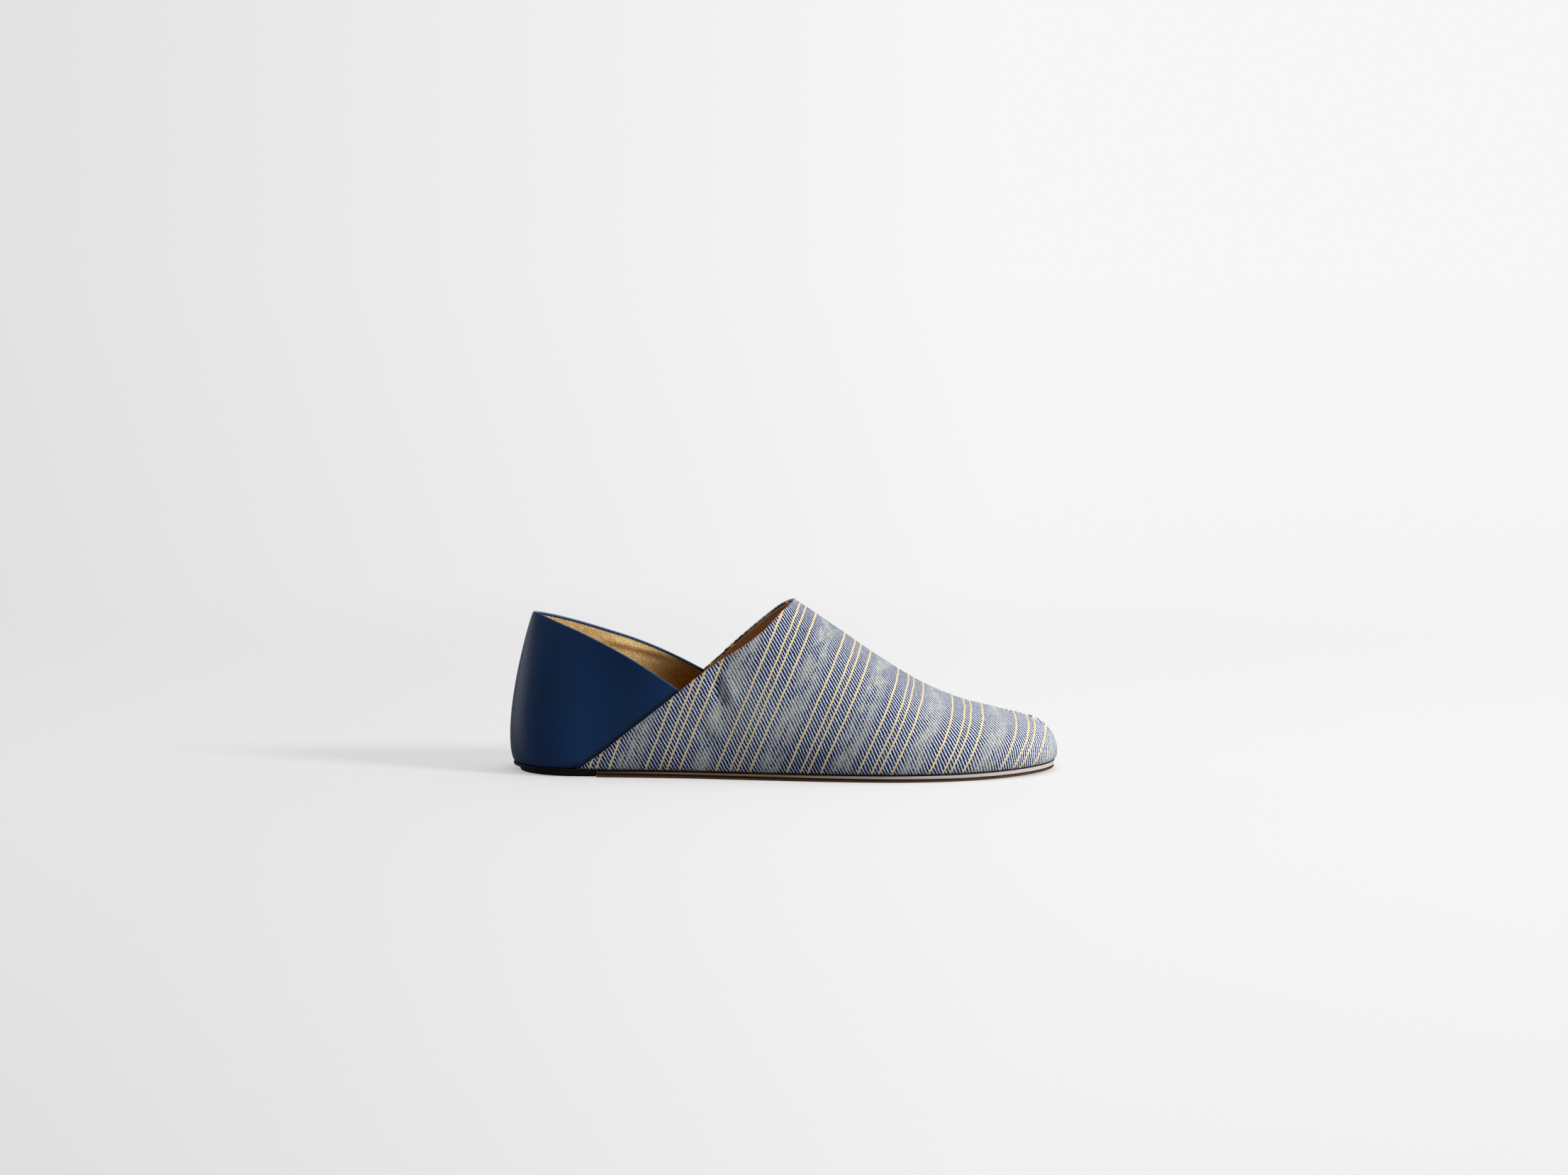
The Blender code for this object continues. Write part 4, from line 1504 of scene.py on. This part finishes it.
class SLIPPER_OT_vamp(bpy.types.Operator):
    """Striped cloth vamp with its turned rear edge"""

    bl_idname = "slipper.make_vamp"
    bl_label = "Vamp"

    def execute(self, context):
        twill = striped_twill()
        spans = {side: vamp_span(side) for side in SIDES}
        self.make_cloth(spans, twill)
        self.make_edge(spans, twill)
        return {"FINISHED"}

    def make_cloth(self, spans, twill):
        rows = []
        for share in climb_steps(WALL_STEPS):
            rows.append((share, VAMP_FACE * (1 - VAMP_FOOT * (1 - share) ** VAMP_FOOT_POWER), 0))
        rows += [(share, VAMP_BACK, 0) for share in climb_steps(BACK_STEPS)[::-1]]
        piece = add_shell(
            "vamp_cloth", spans, rows + rows[:1], "cloth", swell=cloth_folds, cloth=cloth_map,
            marks=lambda point, side: {"wear": cloth_wear(point)},
        )
        dress(piece, twill, "striped_denim", "vamp")

    def make_edge(self, spans, twill):
        point, normal, cloth, behind, slim = self.edge_course(spans)
        up = unit(-np.cross(np.gradient(point, axis=0), normal))
        inner = (VAMP_BACK - LAYER_GAP) * slim + (EDGE_BACK - VAMP_BACK) * behind
        radius = ((VAMP_FACE + EDGE_PROUD) * slim - inner) / 2
        outwards, lift, spread = self.edge_rows(inner, radius, behind, slim)
        turned = cloth[0][:, None, :] + spread[..., None] * cloth[1][:, None, :]
        phase = turned @ np.array([np.cos(TWILL_TURN), np.sin(TWILL_TURN)]) / (sizes().twill_pitch / MM)
        middle = inner + radius
        centre = point + normal * middle[:, None] - up * radius[:, None]
        moved = point[:, None] + normal[:, None] * outwards[..., None] + up[:, None] * lift[..., None]
        away = unit(moved - centre[:, None])
        rib = EDGE_RIB * np.cos(2 * np.pi * phase) * slim[:, None]
        # Rows that lie on other layers have no ribs
        rib[:, [0, -3, -2, -1]] = 0
        moved = moved + away * rib[..., None]
        ends = np.minimum(np.arange(len(point)), np.arange(len(point))[::-1]) * EDGE_STEP
        close = np.clip(ends / EDGE_CLOSE, 0, 1)[:, None, None]
        moved = point[:, None] + (moved - point[:, None]) * close
        # Shade painted inside the turned band
        inside = np.clip((spread - BAND_SHADE_START) / BAND_SHADE_FADE, 0, 1)
        wear = cloth_wear(point)[:, None] - BAND_SHADE * inside
        sheet = add_sheet(moved, False, turned, marks={"wear": wear})
        piece = zip_sheets("vamp_edge", [sheet], "cloth", smooth=75, weld=WELD / 10)
        dress(piece, twill, "striped_denim")

    def edge_rows(self, inner, radius, behind, slim):
        """Closed profile of the edge at each point: its way outwards and up, and the cloth it uses."""
        leg = (sizes().cloth_band / MM) * behind
        rows = [
            (inner + 2 * radius - EDGE_TUCK * slim, -EDGE_REACH * slim, -EDGE_REACH * slim),
            (inner + 2 * radius, -radius - 0.3 * slim, -radius - 0.3 * slim),
        ]
        for angle in np.linspace(0, np.pi, ROUND_STEPS + 5):
            out = inner + radius * (1 + np.cos(angle))
            rows.append((out, radius * (np.sin(angle) - 1), radius * (angle - np.pi / 2)))
        used = radius * np.pi / 2 + leg
        rows.append((inner, -radius - leg, used))
        rows.append((inner + 0.25 * slim, -radius - leg - 0.1 * slim, used + 0.3))
        rows.append(rows[0])
        return np.array(rows).transpose(1, 2, 0)

    def edge_course(self, spans):
        """Even points along the rear edge over the ridge, with normals and cloth coordinates."""
        parts = []
        for side in SIDES:
            turns, _, high = spans[side]
            rises, cloth, across, stripe = cloth_field(side, spans[side])
            throat = throat_turn()
            dense = throat - (throat - turns[0]) * np.linspace(1, 0, EDGE_SAMPLES) ** 1.5
            rise = cut_rise(dense, side, topline)
            at = wall(dense, side, rise)
            facing = wall_normal(dense, side, rise)
            fields = [at_rises(high[:, None], rises, values)[:, 0] for values in (cloth, stripe, across)]
            edge_cloth, stripes, acrosses = [read_along(dense, turns, values) for values in fields]
            tall = np.linalg.norm(at - wall(dense, side, 0 * rise), axis=-1)
            notch = np.interp(meeting_turn(side, topline), dense, at[:, 0])
            behind = ease((at[:, 0] - notch + BAND_LEAD) / BAND_OPENS)
            slim = np.clip(tall / FULL_TALL, 0.2, 1)
            parts.append([at, facing, edge_cloth, stripes, acrosses, behind[:, None], slim[:, None]])
        lateral, medial = parts
        course = [np.concatenate([a, b[::-1][1:]]) for a, b in zip(lateral, medial)]
        seam = EDGE_SAMPLES - 1
        course[1][seam] = unit(lateral[1][-1] + medial[1][-1])
        distance = run_length(course[0])
        even = np.linspace(0, distance[-1], int(distance[-1] / EDGE_STEP))
        spread = [read_along(even, distance, values) for values in course]
        at, facing, cloth, stripes, acrosses, behind, slim = spread
        facing = unit(facing)
        up = unit(-np.cross(np.gradient(at, axis=0), facing))
        slope = np.stack([(up * acrosses).sum(-1), (up * unit(stripes)).sum(-1)], -1)
        return at, facing, (cloth, slope), behind[:, 0], slim[:, 0]


class SLIPPER_OT_stitches(bpy.types.Operator):
    """Thread that holds the rim's turned band on the inside"""

    bl_idname = "slipper.make_stitches"
    bl_label = "Rim stitches"

    def execute(self, context):
        thread = sizes().thread / MM
        pitch = sizes().stitch_pitch / MM
        first = self.first_stitch(STITCH_SHOWN * pitch, thread)
        copies = []
        for side in SIDES:
            for place, way, facing in self.course(side, pitch):
                copy = first.copy()
                copy.data = first.data.copy()
                context.scene.collection.objects.link(copy)
                third = np.cross(facing, way)
                turn = Matrix([[way[k], third[k], facing[k]] for k in range(3)]).to_4x4()
                copy.matrix_world = Matrix.Translation(Vector((place + SHIFT) * MM)) @ turn
                copies.append(copy)
        bpy.data.objects.remove(first)
        select_only(*copies)
        bpy.ops.object.join()
        piece = context.object
        bpy.ops.object.transform_apply(location=True, rotation=True, scale=True)
        bpy.ops.object.shade_smooth()
        piece.name = "rim_stitches"
        piece.data.name = "rim_stitches"
        dress(piece, bonded_thread(), "navy_leather")
        return {"FINISHED"}

    def first_stitch(self, length, thread):
        """One stitch along X: a round bar that dips into the leather at both ends."""
        bpy.ops.object.select_all(action="DESELECT")
        bpy.ops.mesh.primitive_cylinder_add(
            vertices=8, radius=thread / 2 * MM, depth=length * MM, end_fill_type="TRIFAN"
        )
        stitch = bpy.context.object
        bpy.ops.object.mode_set(mode="EDIT")
        bpy.ops.mesh.select_all(action="SELECT")
        bpy.ops.mesh.subdivide(number_cuts=2)
        bpy.ops.object.mode_set(mode="OBJECT")
        points = np.empty(len(stitch.data.vertices) * 3)
        stitch.data.vertices.foreach_get("co", points)
        x, y, z = points.reshape(-1, 3)[:, [2, 1, 0]].T
        part = np.clip(np.abs(2 * x / (length * MM)), 0, 1)
        narrow = 1 - STITCH_NARROW * part**3
        dip = -STITCH_DIP * thread * MM * part**3
        bent = np.stack([x, -y * narrow, z * narrow + dip], -1)
        stitch.data.vertices.foreach_set("co", bent.ravel())
        return stitch

    def course(self, side, pitch):
        """Place, run and facing of each stitch along the inside of the rim."""
        end = meeting_turn(side, topline)
        turns = np.linspace(0.02, end, EDGE_SAMPLES)
        rise = cut_rise(turns, side, rim)
        at = wall(turns, side, rise)
        facing = wall_normal(turns, side, rise)
        way = unit(np.gradient(at, axis=0))
        up = unit(side * np.cross(way, facing))
        inside = at + facing * (RIM_FACE - STITCH_OUT) - up * (STITCH_PLACE * sizes().rim_band / MM)
        distance = run_length(inside)
        for step in np.arange(pitch, distance[-1] - pitch, pitch):
            i = int(np.searchsorted(distance, step))
            yield inside[i], way[i], -facing[i]


class SLIPPER_OT_stage(bpy.types.Operator):
    """Pale floor, soft studio light and the camera"""

    bl_idname = "slipper.make_stage"
    bl_label = "Stage"

    def execute(self, context):
        self.make_floor(context)
        self.make_world(context)
        for name, place, size, watts in LIGHTS["rows"]:
            self.add_light(context, name, place, size, watts)
        self.make_camera(context)
        context.scene.view_settings.view_transform = "Standard"
        return {"FINISHED"}

    def make_floor(self, context):
        bpy.ops.object.select_all(action="DESELECT")
        bpy.ops.mesh.primitive_circle_add(vertices=96, radius=FLOOR_RADIUS, fill_type="NGON")
        floor = context.object
        bpy.ops.object.mode_set(mode="EDIT")
        bpy.ops.mesh.select_all(action="SELECT")
        bpy.ops.mesh.inset(thickness=FLOOR_RADIUS / 2)
        bpy.ops.object.mode_set(mode="OBJECT")
        floor.name = "studio_floor"
        floor.data.materials.append(self.floor_paper())

    def floor_paper(self):
        """Seamless background paper: matt and even, fading out far from the slipper so no edge shows. It
        glows to the camera with painted light, brighter towards the right.
        """
        material, shader, add = start_material("background_paper")
        place = add("TexCoord", out="Object")
        reach = add("VectorMath", {"operation": "LENGTH"}, {0: place}, "Value")
        fade = add(
            "MapRange",
            {"interpolation_type": "SMOOTHSTEP", "From Min": FLOOR_FADE[0], "From Max": FLOOR_FADE[1],
             "To Min": 1.0, "To Max": 0.0},
            {"Value": reach}, "Result",
        )
        # Size in mm
        tooth_size = 2
        tooth = add("TexNoise", {"Scale": per_metre(tooth_size), "Detail": 2.0}, {"Vector": place}, "Fac")
        bump = add("Bump", {"Strength": 0.1, "Distance": 0.0002}, {"Height": tooth}, "Normal")
        seen = add("LightPath", out="Is Camera Ray")
        shade = add(
            "Mix",
            {"data_type": "RGBA", 6: paint(colours().floor, FLOOR_BACK),
             7: paint(colours().floor, FLOOR_SEEN)},
            {0: seen}, 2,
        )
        # Painted light: a glow that only the camera sees, brighter towards the right
        across = add("SeparateXYZ", {}, {0: place}, "X")
        glow = add(
            "MapRange",
            {"interpolation_type": "SMOOTHSTEP", "From Min": -0.25, "From Max": 0.15,
             "To Min": 0.395, "To Max": 0.475},
            {"Value": across}, "Result",
        )
        glow = add("Math", {"operation": "MULTIPLY"}, {0: glow, 1: seen})
        set_shader(
            shader,
            {"Roughness": 0.8, "Specular IOR Level": 0.2, "Emission Color": (1, 1, 1, 1)},
            {"Base Color": shade, "Alpha": fade, "Normal": bump, "Emission Strength": glow},
        )
        return material

    def make_world(self, context):
        """Bright room behind and to the right, dimmer on the camera's side."""
        world = bpy.data.worlds.new("studio_room")
        context.scene.world = world
        world.use_nodes = True
        tree = world.node_tree
        add = partial(add_node, tree)
        way = add("TexCoord", out="Generated")
        seen = self.room_glow(add, way, ROOM_SEEN)
        down = add("SeparateXYZ", {}, {0: way}, "Z")
        down = add("Math", {"operation": "MINIMUM", 1: 0.0}, {0: down})
        down = add("Math", {"operation": "MULTIPLY_ADD", 1: ROOM_DOWN, 2: 1.0}, {0: down})
        seen = add("Math", {"operation": "MULTIPLY"}, {0: seen, 1: down})
        lit = self.room_glow(add, way, ROOM_LIGHT)
        camera = add("LightPath", out="Is Camera Ray")
        mixed = add("Mix", {"data_type": "FLOAT"}, {0: camera, 2: lit, 3: seen}, 0)
        tree.links.new(mixed, tree.nodes["Background"].inputs["Color"])

    def room_glow(self, add, way, glow):
        """Brightness that grows along one way through the room, between two limits."""
        level = add("VectorMath", {"operation": "DOT_PRODUCT", 1: glow["way"]}, {0: way}, "Value")
        level = add("Math", {"operation": "ADD", 1: glow["middle"]}, {0: level})
        return add("Clamp", {"Min": glow["least"], "Max": glow["most"]}, {0: level})

    def add_light(self, context, name, place, size, watts):
        data = bpy.data.lights.new(name, "AREA")
        data.shape = "DISK"
        data.size = size * MM
        data.energy = watts
        light = bpy.data.objects.new(name, data)
        context.scene.collection.objects.link(light)
        light.location = Vector(place) * MM
        light.rotation_euler = (-light.location).to_track_quat("-Z", "Y").to_euler()

    def make_camera(self, context):
        data = bpy.data.cameras.new("camera")
        data.lens = CAMERA_LENS
        data.sensor_width = SENSOR_WIDTH
        data.sensor_fit = "HORIZONTAL"
        camera = bpy.data.objects.new("camera", data)
        context.scene.collection.objects.link(camera)
        level = np.cos(CAMERA_ELEVATION)
        sideways = np.sin(CAMERA_AZIMUTH) * level
        outwards = -np.cos(CAMERA_AZIMUTH) * level
        back = np.array([sideways, outwards, np.sin(CAMERA_ELEVATION)])
        aim = (np.array(CAMERA_AIM) + SHIFT) * MM
        camera.location = Vector(aim + CAMERA_DISTANCE * MM * back)
        camera.rotation_euler = Vector(-back).to_track_quat("-Z", "Y").to_euler()
        context.scene.camera = camera


class SLIPPER_PT_panel(bpy.types.Panel):
    """Pieces of the slipper with their sizes and colours"""

    bl_idname = "SLIPPER_PT_panel"
    bl_label = "Slipper"
    bl_space_type = "VIEW_3D"
    bl_region_type = "UI"
    bl_category = "Slipper"

    def draw(self, context):
        for operator in OPERATORS:
            self.layout.operator(operator.bl_idname)
        for group in (context.scene.slipper_sizes, context.scene.slipper_colours):
            for name in group.bl_rna.properties.keys():
                if name not in ("rna_type", "name"):
                    self.layout.prop(group, name)


OPERATORS = (
    SLIPPER_OT_sole,
    SLIPPER_OT_insole,
    SLIPPER_OT_quarter,
    SLIPPER_OT_lining,
    SLIPPER_OT_vamp,
    SLIPPER_OT_stitches,
    SLIPPER_OT_stage,
)
CLASSES = (SlipperSizes, SlipperColours, *OPERATORS, SLIPPER_PT_panel)


def register():
    for item in CLASSES:
        bpy.utils.register_class(item)
    bpy.types.Scene.slipper_sizes = bpy.props.PointerProperty(type=SlipperSizes)
    bpy.types.Scene.slipper_colours = bpy.props.PointerProperty(type=SlipperColours)


def unregister():
    del bpy.types.Scene.slipper_sizes
    del bpy.types.Scene.slipper_colours
    for item in reversed(CLASSES):
        bpy.utils.unregister_class(item)


def main():
    register()
    bpy.ops.slipper.make_sole()
    bpy.ops.slipper.make_insole()
    bpy.ops.slipper.make_quarter()
    bpy.ops.slipper.make_linings()
    bpy.ops.slipper.make_vamp()
    bpy.ops.slipper.make_stitches()
    bpy.ops.slipper.make_stage()


if __name__ == "__main__":
    main()
